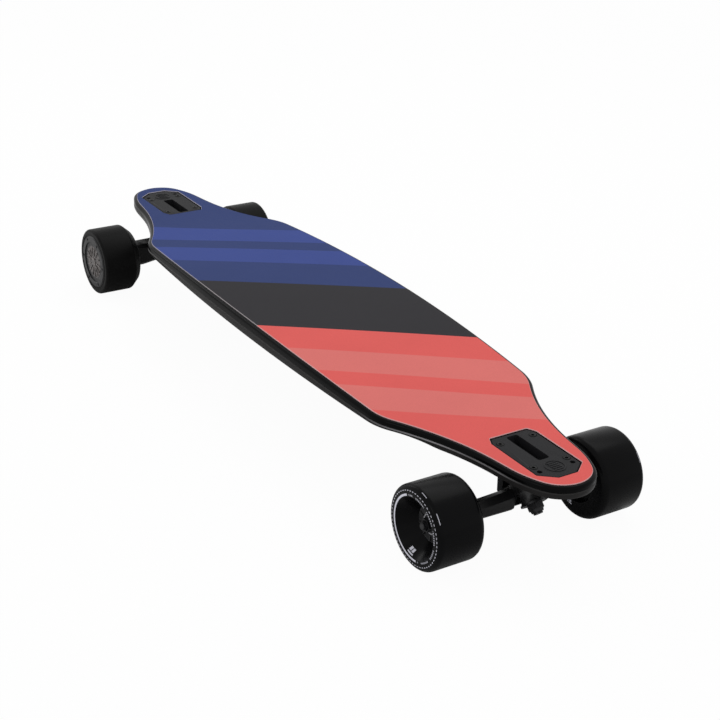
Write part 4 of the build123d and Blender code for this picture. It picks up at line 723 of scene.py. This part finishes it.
def deck_layer(name, top, bottom, edge, finish, edge_finish=None, edge_faces=None):
    """A layer of the deck. edge is its side from top to bottom, as (inset, face, depth).
    The first edge_faces of its bands, or all of them, take the second finish."""
    form = bmesh.new()
    stations = []
    for x, y, heading in deck_side():
        left = []
        for inset, face, depth in edge:
            px = x + inset * math.sin(heading)
            py = max(0, y - inset * math.cos(heading))
            height = camber(px, *top) - depth if face == "top" else camber(px, *bottom) + depth
            left.append((px, py, height))
        under, over = left[-1], left[0]
        loop = list(left)
        loop += [(under[0], under[1] * (1 - 2 * i / ACROSS), under[2]) for i in range(1, ACROSS)]
        loop += [(px, -py, pz) for px, py, pz in reversed(left)]
        loop += [(over[0], over[1] * (2 * i / ACROSS - 1), over[2]) for i in range(1, ACROSS)]
        stations.append([form.verts.new(point) for point in loop])
    count = len(stations[0])
    bands = len(edge) - 1
    right_start = bands + ACROSS
    edge_faces = edge_faces or bands
    for here, there in zip(stations, stations[1:]):
        for k in range(count):
            n = (k + 1) % count
            face = form.faces.new((here[k], there[k], there[n], here[n]))
            side = k < edge_faces or 0 <= right_start + bands - 1 - k < edge_faces
            face.material_index = 1 if side and edge_finish else 0
    bmesh.ops.remove_doubles(form, verts=form.verts, dist=1e-6)
    bmesh.ops.dissolve_degenerate(form, edges=form.edges, dist=1e-6)
    piece = new_piece(name, form, finish)
    if edge_finish:
        piece.data.materials.append(edge_finish.material)
    return piece


def flange_outline(grow, centre):
    """Recess for a truck's flange, over the axle at centre."""
    out = math.copysign(1, centre)
    half, narrow = FLANGE_WIDTH / 2, FLANGE_NARROW / 2
    taper = half - narrow
    corner = (FLANGE_WIDTH - BOLT_SPACING) / 3
    upper = [
        (-FLANGE_IN, half - corner),
        (corner * 2 - FLANGE_IN, half),
        (FLANGE_OUT - taper * 0.8, half),
        (FLANGE_OUT, narrow),
    ]
    points = [Vector(p) for p in upper + [(x, -y) for x, y in reversed(upper)]]
    grown = []
    for i, corner_point in enumerate(points):
        before = (corner_point - points[i - 1]).normalized()
        after = (points[(i + 1) % len(points)] - corner_point).normalized()
        out_before = Vector((-before.y, before.x))
        out_after = Vector((-after.y, after.x))
        middle = (out_before + out_after).normalized()
        grown.append(corner_point + middle * grow / middle.dot(out_before))
    return [(centre + out * x, y) for x, y in filleted(grown, FLANGE_CORNER + grow)]


def bolt_places(centre, spares=False):
    """Plan places of a truck's mount bolts."""
    out = math.copysign(1, centre)
    along = BOLT_X + ((SPARE_X,) if spares else ())
    return [(centre + out * x, y * BOLT_SPACING / 2) for x in along for y in (-1, 1)]


def truck_openings(low, high):
    """Cutter for the truck bodies and the bolt holes, through both boards."""
    outlines = []
    for centre in (FRONT_AXLE, REAR_AXLE):
        out = math.copysign(1, centre)
        outlines.append(rounded_box(
            centre + out * (BODY_OUT - BODY_IN) / 2, 0,
            BODY_OUT + BODY_IN + 2 * BODY_GAP, BODY_WIDTH + 2 * BODY_GAP, BODY_CORNER,
        ))
        outlines += [circle(x, y, BOLT_HOLE) for x, y in bolt_places(centre, spares=True)]
    return prisms("openings", outlines, low, high)


def port_pockets():
    """Cutter for the port, button and gland pockets under the tail."""
    outlines = []
    for node, rim in PORT_RIMS.items():
        low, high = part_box(node)
        flange = (high.x - low.x) / 2
        outlines.append(circle(low.x + flange, low.y + flange, flange - rim + PORT_GAP))
    return prisms("pockets", outlines, BOTTOM[1] - PORT_DEPTH, BOTTOM[0] + PORT_DEPTH)


def grip_finish(name, cut_edge=False):
    """Printed abrasive sheet: three colour zones with tonal stripes along their borders.
    Where the sheet was cut, its pale core shows under the print."""
    finish = Finish(name, specular_ior_level=0.1)
    x, y, _ = finish.axes()

    def beyond(border):
        """How far a place lies to the nose's side of a straight border, in metres."""
        (start_x, start_y), (end_x, end_y) = border
        length = math.hypot(end_x - start_x, end_y - start_y)
        across_x, across_y = (end_y - start_y) / length, (start_x - end_x) / length
        return (x - start_x) * across_x + (y - start_y) * across_y

    def stripes(distance, first):
        """Bands that follow a zone's border at an even pitch."""
        along = distance - first
        inside = (along > 0) * (along < STRIPE_PITCH * STRIPES)
        phase = along.maths("FRACT", along / STRIPE_PITCH)
        return inside * (phase < STRIPE_WIDTH / STRIPE_PITCH)

    grit = finish.node(
        "ShaderNodeTexVoronoi", {"feature": "F1"}, {"Vector": finish.coordinates, "Scale": 1500}
    )
    grain = finish.noise(2600, 2, 0.6)
    wear = finish.noise(9, 4, 0.6)
    navy_end, coral_start = beyond(NAVY_BORDER), beyond(CORAL_BORDER)
    navy = finish.mix(stripes(0 - navy_end, NAVY_FIRST), NAVY, NAVY_LIGHT)
    coral = finish.mix(stripes(coral_start, CORAL_FIRST), CORAL, CORAL_LIGHT)
    zones = finish.mix(navy_end > 0, navy, finish.mix(coral_start > 0, CHARCOAL, coral))
    if cut_edge:
        zones = finish.mix(CUT_PALENESS + (grain - 0.5) * 0.3, zones, CUT_EDGE)
    speck = finish.ramp(grain, (0.3, 0.90), (0.5, 1.0), (0.72, 1.12))
    dust = finish.ramp(wear, (0.3, 0.97), (0.7, 1.03))
    finish.set("Base Color", finish.node(
        "ShaderNodeVectorMath", {"operation": "SCALE"}, {0: zones, "Scale": speck * dust}
    ))
    finish.set("Roughness", 0.78 + (grain - 0.5) * 0.3)
    finish.bump(grit * 0.6 + grain * 0.4, 0.12 * MM, 0.6)
    return finish


def lacquer_finish(name, base, roughness):
    """Smooth lacquer with a faint ripple and worn patches in its gloss."""
    finish = Finish(name, specular_ior_level=0.05)
    drift = shaded(finish, base, 0.15, 12)
    ripple = finish.noise(90, 2)
    patches = finish.noise(30, 5, 0.7, stretch=(1, 1, 6))
    finish.set("Roughness", roughness + (patches - 0.5) * 0.25 + (drift - 0.5) * 0.1)
    finish.bump(ripple, 0.02 * MM)
    return finish


def painted_seam_highlight_finish():
    """The lower board's upper bevel, with a painted highlight that shows in patches towards the
    nose.
    """
    finish = Finish("seam_wear", specular_ior_level=0.2)
    x = finish.axes()[0]
    patches = finish.ramp(finish.noise(14, 3, 0.6), (0.35, 0.45), (0.6, 1))
    # painted highlight, broken into noise patches, on the nose end of the bevel only
    towards_nose = finish.ramp(x / HALF_LENGTH, (0.5, 0), (0.64, 0.8), (0.82, 0.8), (0.92, 0))
    finish.set("Base Color", finish.mix(patches * towards_nose, LACQUER_LOW, SEAM_HIGHLIGHT))
    finish.set("Roughness", 0.3 + patches * 0.2)
    finish.bump(finish.noise(90), 0.02 * MM)
    return finish


def make_deck():
    """Both boards and the grip, with their recesses and pockets."""
    axles = (FRONT_AXLE, REAR_AXLE)
    arc = [
        (EDGE_ROUND * (1 - math.sin(t)), "top", EDGE_ROUND * (1 - math.cos(t)))
        for t in [math.pi / 2 * i / 6 for i in range(7)]
    ]
    top_gloss = lacquer_finish("deck_lacquer", LACQUER, 0.22)
    low_gloss = lacquer_finish("deck_lacquer_lower", LACQUER_LOW, 0.32)

    upper = deck_layer(
        "deck_top_board", BOARD_TOP, SEAM,
        arc + [(0, "bottom", SEAM_GROOVE), (SEAM_GROOVE, "bottom", 0)], top_gloss,
    )
    cover = cover_high - cover_low
    bay = [rounded_box(0, 0, cover.x - 2 * BAY_MARGIN, cover.y - 2 * BAY_MARGIN, BAY_CORNER)]
    flanges = [flange_outline(FLANGE_GAP, centre) for centre in axles]
    cut(upper, prisms("recess", flanges, FLANGE_SEAT, ABOVE), truck_openings(BELOW, ABOVE),
        prisms("bay", bay, BELOW, BAY_ROOF), port_pockets())
    settle(upper, "deck", "deck_board", "deck_upper_board")

    lower = deck_layer(
        "deck_bottom_board", SEAM, BOTTOM,
        [(SEAM_GROOVE, "top", 0), (0, "top", SEAM_GROOVE),
         (0, "bottom", EDGE_BEVEL), (EDGE_BEVEL * 0.3, "bottom", EDGE_BEVEL * 0.35),
         (EDGE_BEVEL, "bottom", 0)],
        # the upper bevel takes the lacquer with the painted highlight
        low_gloss, painted_seam_highlight_finish(), 1,
    )
    ledge = [rounded_box(
        0, 0, cover.x + 2 * COVER_GAP, cover.y + 2 * COVER_GAP, BAY_CORNER + COVER_GAP
    )]
    pockets = [circle(x, y, NUT_POCKET, 24) for centre in axles for x, y in bolt_places(centre)]
    cut(lower, truck_openings(BELOW, ABOVE), prisms("bay", bay, BELOW, ABOVE),
        prisms("ledge", ledge, BELOW, LEDGE),
        prisms("nuts", pockets, BELOW, BOTTOM[1] + NUT_HEIGHT), port_pockets())
    settle(lower, "deck", "deck_board", "deck_lower_board")

    cut_edge = grip_finish("grip_cut_edge", True)
    grip = deck_layer(
        "printed_grip", GRIP, BOARD_TOP,
        [(GRIP_INSET + GRIP_CUT, "top", 0), (GRIP_INSET, "top", GRIP_CUT * 0.8),
         (GRIP_INSET, "bottom", 0)],
        grip_finish("printed_grip"), cut_edge,
    )
    openings = []
    for inner, centre in zip(flanges, axles):
        outer = flange_outline(FLANGE_GAP + GRIP_CUT, centre)
        openings.append([
            (inner, BELOW), (inner, GRIP[1] - 0.8 * GRIP_CUT), (outer, GRIP[1]), (outer, ABOVE)
        ])
    cut(grip, stacks("grip_openings", *openings, finish=cut_edge))
    settle(grip, "deck", "grip", "grip_tape")


# --- Wheels ---


def polar(finish, axle_x):
    """Radius and turn about a wheel's axle, and the distance from the board's middle."""
    x, y, z = finish.axes()
    dx, dz = x - axle_x, z - AXLE_Z
    return (dx * dx + dz * dz) ** 0.5, dz.maths("ARCTAN2", dz, dx), abs(y)


def urethane_finish():
    """Cast urethane with a printed dial on its outer face, and painted highlight lines on its lip.
    """
    finish = Finish("front_urethane", specular_ior_level=0.06)
    radius, turn, side = polar(finish, FRONT_AXLE)

    def ring(middle, width):
        """One within half a width of a radius."""
        return abs(radius - middle) < width / 2

    def marks(count, share):
        """Even dashes round the wheel; the 100 keeps the turns above zero."""
        return turn.maths("FRACT", turn * (count / (2 * math.pi)) + 100) < share

    def sector(start, end):
        """One between two turns in degrees, both from -180 to 180."""
        low, high = math.radians(start), math.radians(end)
        return (turn > low) * (turn < high)

    def pieces(rows):
        """Parts of rings, each (middle, width, first turn, last turn)."""
        first, *others = [ring(middle, width) * sector(*turns) for middle, width, *turns in rows]
        return sum(others, first)

    arc = ring(DIAL_RADIUS, 2.2 * MM) * (1 - sector(-80, 116))
    dial = ring(DIAL_RADIUS, 1.6 * MM) * sector(-75, 110) * marks(90, 0.6) * marks(11, 0.75)
    dashes = ring(DASH_RADIUS, 0.9 * MM) * marks(56, 0.5)
    outer = side > TRACK_OUTER - 10 * MM
    # the arc, dial, dashes and blocks are print; the lip lines in this mask are painted highlights
    printed = outer * (arc + dial * 0.6 + dashes * 0.85 + pieces(LIP_HIGHLIGHTS) * 0.7)
    printed = printed.maths("MINIMUM", printed + pieces(BLOCKS), 1)
    shade = finish.mix(finish.noise(20, 3), URETHANE_DARK, URETHANE_PALE)
    finish.set("Base Color", finish.mix(printed, shade, PRINT_AND_HIGHLIGHT_WHITE))
    worn = finish.noise(260, 4, 0.6)
    finish.set("Roughness", 0.26 + (worn - 0.5) * 0.14 + printed * 0.2)
    finish.bump(worn, 0.012 * MM)
    return finish


def make_front_wheels():
    """Urethane tyres on ribbed plastic cores."""
    urethane = urethane_finish()
    plastic = plain_finish("wheel_core_plastic", CORE_PLASTIC, 0.42)
    core_start = TRACK_INNER + INNER_DISH_DEPTH
    core_end = TRACK_OUTER - DISH_DEPTH
    tyre = filleted(
        [
            (CORE_RADIUS, core_start),
            (INNER_DISH_RADIUS - CORE_LEDGE, core_start),
            (INNER_DISH_RADIUS, TRACK_INNER),
            (WHEEL_RADIUS, TRACK_INNER),
            (WHEEL_RADIUS, TRACK_OUTER),
            (DISH_RADIUS, TRACK_OUTER),
            (CORE_RADIUS + CORE_LEDGE, core_end + DISH_FLOOR),
            (CORE_RADIUS, core_end),
        ],
        [0, 1 * MM, 1 * MM, LIP_ROUND, LIP_ROUND, 0.9 * MM, 3 * MM, 0],
    )
    core = [
        (BEARING_RADIUS - BEARING_STOP, core_start + BEARING_WIDTH),
        (BEARING_RADIUS, core_start + BEARING_WIDTH),
        (BEARING_RADIUS, core_start),
        (CORE_RADIUS, core_start),
        (CORE_RADIUS, core_end),
        (BEARING_RADIUS, core_end),
        (BEARING_RADIUS, core_end - BEARING_WIDTH),
        (BEARING_RADIUS - BEARING_STOP, core_end - BEARING_WIDTH),
    ]
    rib = stacks("rib", [
        (rounded_box(0, 0, RIB_LENGTH - 2 * inset, RIB_WIDTH - 2 * inset, 0.5 * MM), height)
        for inset, height in ((0, -0.5 * MM), (0, RIB_HEIGHT - 0.4 * MM), (0.3 * MM, RIB_HEIGHT))
    ])
    for side, word in ((1, "left"), (-1, "right")):
        body = f"front_{word}_wheel"
        ribs = ring_pattern(
            f"front_{word}_core_ribs", rib, CORE_RIBS, (CORE_RADIUS + BEARING_RADIUS) / 2,
            (FRONT_AXLE, side * core_end, AXLE_Z), side, plastic,
        )
        settle(ribs, body, "core", f"front_{word}_core")
        settle(
            lathe(f"front_{word}_urethane", tyre, FRONT_AXLE, side, urethane),
            body, "urethane", f"front_{word}_tyre",
        )
        settle(
            lathe(f"front_{word}_hub", core, FRONT_AXLE, side, plastic),
            body, "core", f"front_{word}_core",
        )
    bpy.data.objects.remove(rib)


def sleeve_finish():
    """Motor's rubber sleeve, scuffed in use."""
    finish = Finish("motor_sleeve", specular_ior_level=0.06)
    drift = shaded(finish, SLEEVE_RUBBER, 0.12, 25)
    worn = finish.noise(320, 4, 0.6)
    finish.set("Roughness", 0.42 + (worn - 0.5) * 0.2 + (drift - 0.5) * 0.1)
    finish.bump(worn, 0.02 * MM)
    return finish


def cap_finish():
    """Cast cap: pale and mottled inside, dark round its screws."""
    finish = Finish("motor_cap", metallic=0.5, specular_ior_level=0.25)
    radius = polar(finish, REAR_AXLE)[0]
    rough_cast = finish.noise(210, 3, 0.65)
    mottled = finish.mix(finish.ramp(rough_cast, (0.36, 0), (0.64, 1)), CAP_DARK, CAP_PALE)
    rim = finish.ramp(radius / WHEEL_RADIUS, (0.47, 0), (0.51, 1))
    finish.set("Base Color", finish.mix(rim, mottled, CAP_RIM))
    finish.set("Roughness", 0.42 + (rough_cast - 0.5) * 0.3)
    finish.bump(rough_cast, 0.12 * MM)
    return finish


def make_rear_wheels():
    """Rubber sleeves on the motor cans, and the caps with their screws."""
    rubber = sleeve_finish()
    dark = plain_finish("motor_can_black", colour(24, 24, 25), 0.38, 0.3)
    grey = cap_finish()
    steel = plain_finish("cap_screw_steel", BLACK_STEEL, 0.4, 0.6, 500, 0.02)
    shank, head, socket = CAP_SCREW_RADIUS, CAP_SCREW_HEAD, CAP_SCREW_SOCKET
    screw = turned("cap_screw", [
        (0, -CAP_SCREW_LENGTH), (shank, -CAP_SCREW_LENGTH), (shank, 0), (head - 0.1 * MM, 0),
        (head, 0.1 * MM), (head, CAP_SCREW_HEIGHT - 0.3 * MM), (head - 0.3 * MM, CAP_SCREW_HEIGHT),
        (socket + 0.2 * MM, CAP_SCREW_HEIGHT, 6), (socket, CAP_SCREW_HEIGHT - 0.1 * MM, 6),
        (socket, 0.3 * MM, 6), (0, 0.3 * MM),
    ])
    sleeve_low, sleeve_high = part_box("rear_left_tyre")
    sleeve = filleted(
        [
            (CAN_RADIUS, sleeve_low.y),
            (CAN_RADIUS + SLEEVE_LIP, sleeve_low.y),
            (WHEEL_RADIUS, sleeve_low.y + SLEEVE_TAPER),
            (WHEEL_RADIUS, sleeve_high.y),
            (CAN_RADIUS + 2.6 * MM, sleeve_high.y),
            (CAN_RADIUS + 2.2 * MM, sleeve_high.y - SLEEVE_STEP),
            (CAN_RADIUS + 0.4 * MM, sleeve_high.y - SLEEVE_STEP),
            (CAN_RADIUS, sleeve_high.y - 0.2 * MM),
        ],
        [0, 0.4 * MM, SLEEVE_ROUND, SLEEVE_ROUND, 0.3 * MM, 0.2 * MM, 0.2 * MM, 0],
    )
    for side, word in ((1, "left"), (-1, "right")):
        body = f"rear_{word}_wheel"
        settle(
            lathe(f"rear_{word}_sleeve", sleeve, REAR_AXLE, side, rubber),
            body, "urethane", f"rear_{word}_tyre",
        )
        for node, width, finish in (("motor_can", 0.5 * MM, dark), ("motor_cap", 0.3 * MM, grey)):
            node = f"rear_{word}_{node}"
            settle(soften(node, width, finish), body, "motor_metal", node)
        screws = ring_pattern(
            f"rear_{word}_cap_screw_set", screw, CAP_SCREWS, CAP_SCREW_CIRCLE,
            (REAR_AXLE, side * (MOTOR_OUTER - CAP_SCREW_SINK), AXLE_Z), side, steel,
        )
        settle(screws, body, "black_screws", f"rear_{word}_cap_screws")
    bpy.data.objects.remove(screw)


# --- Trucks and hardware ---


def make_trucks():
    """Base plates and hangers with softened edges, bolts and nuts."""
    powder = plain_finish("truck_powder_coat", POWDER, 0.36, 0, 700, 0.05, specular_ior_level=0.2)
    satin = plain_finish(
        "baseplate_satin", FLANGE_BLACK, 0.5, 0.0, 900, 0.05, specular_ior_level=0.08
    )
    for end in ("front", "rear"):
        settle(soften(f"{end}_baseplate", 0.5 * MM, satin), "deck", "truck_metal",
               f"{end}_baseplate")
        settle(soften(f"{end}_hanger", 0.9 * MM, powder, segments=3), f"{end}_truck",
               "truck_metal", f"{end}_hanger")

    dark = plain_finish(
        "bolt_black", colour(15, 15, 16), 0.4, 0.3, 500, 0.02, specular_ior_level=0.1
    )
    shank, head, top, socket = BOLT_RADIUS, BOLT_HEAD, BOLT_HEAD_HEIGHT, BOLT_SOCKET
    bolt = turned("mount_bolt", [
        (0, -BOLT_LENGTH), (shank - 0.3 * MM, -BOLT_LENGTH), (shank, 0.4 * MM - BOLT_LENGTH),
        (shank, 0), (head - 0.1 * MM, 0), (head, 0.1 * MM), (head, top - 0.9 * MM),
        (head - 0.15 * MM, top - 0.4 * MM), (head - 0.5 * MM, top - 0.1 * MM),
        (head - 0.9 * MM, top), (socket + 0.2 * MM, top, 6), (socket, top - 0.2 * MM, 6),
        (socket, top - 1.6 * MM, 6), (0, top - 1.6 * MM),
    ])
    nut = turned("mount_nut", [
        (NUT_BORE, 0), (NUT_FLAT - 0.5 * MM, 0, 6), (NUT_FLAT, 0.4 * MM, 6),
        (NUT_FLAT, NUT_HEIGHT - 0.3 * MM, 6), (NUT_FLAT - 0.3 * MM, NUT_HEIGHT, 6),
        (NUT_BORE, NUT_HEIGHT),
    ], closed=True)
    middle = (BOLT_X[0] + BOLT_X[1]) / 2
    centres = [axle + math.copysign(middle, axle) for axle in (FRONT_AXLE, REAR_AXLE)]
    for name, item, height, slot in (
        ("mount_bolt", bolt, FLANGE_TOP - BOLT_HEAD_SINK, "black_screws"),
        ("mount_nut", nut, BOTTOM[1], "steel"),
    ):
        group = grid_pattern(
            name + "_set", item, BOLT_X[1] - BOLT_X[0], BOLT_SPACING, 2, 2,
            [(x, 0.0, height) for x in centres], dark,
        )
        settle(group, "deck", slot, name + "s")
        bpy.data.objects.remove(item)


def make_underside():
    """Charge port, button housing and cover screws."""
    moulded = plain_finish(
        "port_plastic", colour(30, 30, 31), 0.5, 0.0, 900, 0.06, specular_ior_level=0.3
    )
    for node in ("charge_port", "power_button_housing"):
        settle(soften(node, 0.3 * MM, moulded), "deck", "black_plastic", node)

    dark = plain_finish("screw_black", colour(20, 20, 21), 0.4, 0.3, 500, 0.02)
    shank, head, socket = SCREW_RADIUS, SCREW_HEAD, SCREW_SOCKET
    screw = turned("cover_screw", [
        (0, 0.9 * MM), (socket - 0.1 * MM, 0.9 * MM, 6), (socket, 0.1 * MM, 6),
        (socket + 0.2 * MM, 0, 6), (head - 0.2 * MM, 0), (head, 0.2 * MM),
        (shank, head - shank + 0.2 * MM), (shank, SCREW_LENGTH - 0.5 * MM),
        (shank - 0.3 * MM, SCREW_LENGTH), (0, SCREW_LENGTH),
    ], steps=18)
    low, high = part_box("cover_screws")
    middle, half = (low + high) / 2, (high - low) / 2
    half_x, half_y = half.x - SCREW_HEAD, half.y - SCREW_HEAD
    long_reach, cross_reach = half_x - BAY_CORNER, half_y - BAY_CORNER
    rows = []
    for side in (-1, 1):
        start = (middle.x - long_reach, side * half_y, low.z)
        gap = (2 * long_reach / (SCREWS_LONG - 1), 0.0, 0.0)
        rows.append(row_pattern("long_row", screw, SCREWS_LONG, start, gap, dark))
        start = (middle.x + side * half_x, -cross_reach, low.z)
        gap = (0.0, 2 * cross_reach / (SCREWS_ACROSS - 1), 0.0)
        rows.append(row_pattern("cross_row", screw, SCREWS_ACROSS, start, gap, dark))
    bpy.data.objects.remove(screw)
    settle(together("cover_screw_set", rows, dark), "deck", "black_screws", "cover_screws")


def bearing_finish():
    """Bright outer ring round a dark shield."""
    finish = Finish("wheel_bearing", metallic=0.2)
    x, _, z = finish.axes()
    dx, dz = abs(x) - FRONT_AXLE, z - AXLE_Z
    radius = (dx * dx + dz * dz) ** 0.5
    scuffed = finish.noise(500, 3, 0.6)
    ring = finish.ramp(radius / WHEEL_RADIUS, (0.212, 0), (0.218, 1))
    steel = finish.mix(scuffed, colour(150, 150, 154), colour(190, 190, 194))
    finish.set("Base Color", finish.mix(ring, colour(20, 20, 21), steel))
    finish.set("Roughness", 0.28 + scuffed * 0.2)
    finish.bump(scuffed, 0.01 * MM)
    return finish


def dress(finish, *names):
    """Give frame nodes a finish."""
    for name in names:
        mesh = nodes[name].data
        mesh.materials.clear()
        mesh.materials.append(finish.material)


def dress_frame_nodes():
    """Finishes for the frame's own pieces, by the kind of piece."""
    bushings = [
        f"{end}_{side}_side_bushing" for end in ("front", "rear") for side in ("board", "road")
    ]
    for name, base, roughness, metallic, grain, depth, dressed in (
        ("zinc_steel", (150, 150, 152), 0.34, 0.9, 500, 0.02,
         ["rear_axle", "front_bearing_spacers"]),
        ("black_steel", (32, 32, 34), 0.4, 0.6, 500, 0.02,
         ["kingpins", "kingpin_nuts", "front_axle_nuts", "bushing_washers", "front_axle",
          "front_axle_washers"]),
        ("bushing_urethane", (30, 30, 31), 0.45, 0.0, 200, 0.02, [*bushings, "pivot_cups"]),
        ("soft_rubber", (26, 26, 27), 0.6, 0.0, 500, 0.04,
         ["cover_gasket", "charge_port_cap", "motor_cable_gland"]),
        ("black_plastic", (30, 30, 31), 0.45, 0.0, 600, 0.04,
         ["underside_cover", "power_button", "battery_tray", "motor_controller"]),
        ("black_anodised", (40, 40, 42), 0.4, 0.8, 500, 0.03, ["controller_heat_sink"]),
        ("cell_foil", (150, 155, 160), 0.35, 0.5, 120, 0.05, ["battery_cells"]),
        ("circuit_green", (24, 70, 44), 0.4, 0.0, 300, 0.03, ["battery_board"]),
        ("winding_copper", (170, 92, 50), 0.35, 0.9, 900, 0.08, ["motor_windings"]),
        ("stator_iron", (90, 92, 96), 0.45, 0.8, 500, 0.03, ["motor_stators"]),
        ("magnet_nickel", (150, 148, 144), 0.3, 0.9, 500, 0.02,
         ["rear_left_magnets", "rear_right_magnets"]),
    ):
        dress(plain_finish(name, colour(*base), roughness, metallic, grain, depth), *dressed)
    dress(bearing_finish(), "front_bearing_inner_rings", "front_left_bearings",
          "front_right_bearings", "rear_left_motor_bearings", "rear_right_motor_bearings")
    light = Finish("status_light", emission_strength=0.4)
    glow = shaded(light, colour(215, 225, 235), 0.1, 200)
    light.set("Emission Color", light.mix(glow, colour(200, 215, 230), colour(235, 240, 245)))
    dress(light, "status_light_ring")


# --- Camera, floor and light ---
CAMERA_PLACE = Vector((1.408, -0.858, 0.815))
CAMERA_AZIMUTH = math.radians(56.96)
CAMERA_ELEVATION = math.radians(25.34)
CAMERA_ROLL = math.radians(2.16)
LENS = 74.43
FLOOR_WHITE = 0.96             # share of pure white that the camera sees on the floor
WORLD_LIGHT = 0.72             # strength for all but the camera and reflections


def make_camera():
    """Camera at its place, turned and rolled by its angles."""
    back = Vector((
        math.sin(CAMERA_AZIMUTH) * math.cos(CAMERA_ELEVATION),
        -math.cos(CAMERA_AZIMUTH) * math.cos(CAMERA_ELEVATION),
        math.sin(CAMERA_ELEVATION),
    ))
    right = (-back).cross(Vector((0, 0, 1))).normalized()
    up = back.cross(right)
    turned_right = math.cos(CAMERA_ROLL) * right + math.sin(CAMERA_ROLL) * up
    turned_up = math.cos(CAMERA_ROLL) * up - math.sin(CAMERA_ROLL) * right
    lens = bpy.data.cameras.new("camera")
    lens.lens = LENS
    lens.sensor_width = 36
    camera = bpy.data.objects.new("camera", lens)
    camera.matrix_world = Matrix.Translation(CAMERA_PLACE) @ Matrix(
        (turned_right, turned_up, back)
    ).transposed().to_4x4()
    bpy.context.scene.collection.objects.link(camera)
    bpy.context.scene.camera = camera


def make_floor():
    """Pale floor that is white to the camera and keeps the soft shadow."""
    material = bpy.data.materials.new("pale_floor")
    material.use_nodes = True
    pale = Nodes(material.node_tree)
    pale.tree.nodes.clear()
    seen = pale.node("ShaderNodeLightPath", {}, {}, "Is Camera Ray") * FLOOR_WHITE
    matt = pale.node("ShaderNodeBsdfDiffuse", {}, {"Color": (0.9, 0.9, 0.9, 1)})
    white = pale.node("ShaderNodeEmission", {}, {"Strength": 1.0})
    shown = pale.node("ShaderNodeMixShader", {}, {0: seen, 1: matt, 2: white})
    pale.node("ShaderNodeOutputMaterial", {}, {0: shown})
    form = bmesh.new()
    bmesh.ops.create_grid(form, x_segments=1, y_segments=1, size=20)
    bmesh.ops.translate(form, verts=form.verts, vec=(0, 0, cad_low[2]))
    floor = new_piece("floor", form, turn_out=False)
    floor.data.materials.append(material)


def make_world():
    """White to the camera and in reflections, and an even light for the rest."""
    world = bpy.data.worlds.new("studio")
    bpy.context.scene.world = world
    world.use_nodes = True
    sky = Nodes(world.node_tree)
    background = sky.tree.nodes["Background"]
    background.inputs["Color"].default_value = (1, 1, 1, 1)
    rays = sky.outputs("ShaderNodeLightPath", {})
    shown = rays["Is Camera Ray"]
    for kind in ("Is Glossy Ray", "Is Transmission Ray"):
        shown = shown.maths("MAXIMUM", shown, rays[kind])
    level = sky.node(
        "ShaderNodeMapRange", {}, {"Value": shown, "To Min": WORLD_LIGHT, "To Max": 1.0}
    )
    sky.tree.links.new(level.socket, background.inputs["Strength"])


def make_lamps():
    """Three area lamps that face the board."""
    for name, place, size, watts in (
        ("overhead", (-0.3, 0.7, 1.8), (1.6, 1.0), 8),
        ("camera_side", (0.6, -2.3, 1.5), (0.6, 0.6), 3),
        ("rear_strip", (-1.7, -0.6, 1.1), (0.3, 1.2), 3),
    ):
        lamp = bpy.data.lights.new(name, "AREA")
        lamp.shape = "RECTANGLE"
        lamp.size, lamp.size_y = size
        lamp.energy = watts
        stand = bpy.data.objects.new(name, lamp)
        stand.location = place
        aim = Vector((0, 0, 0.08)) - Vector(place)
        stand.rotation_euler = aim.to_track_quat("-Z", "Y").to_euler()
        bpy.context.scene.collection.objects.link(stand)


bpy.context.scene.view_settings.view_transform = "Standard"
make_camera()
make_floor()
make_world()
make_lamps()
make_deck()
make_front_wheels()
make_rear_wheels()
make_trucks()
make_underside()
dress_frame_nodes()
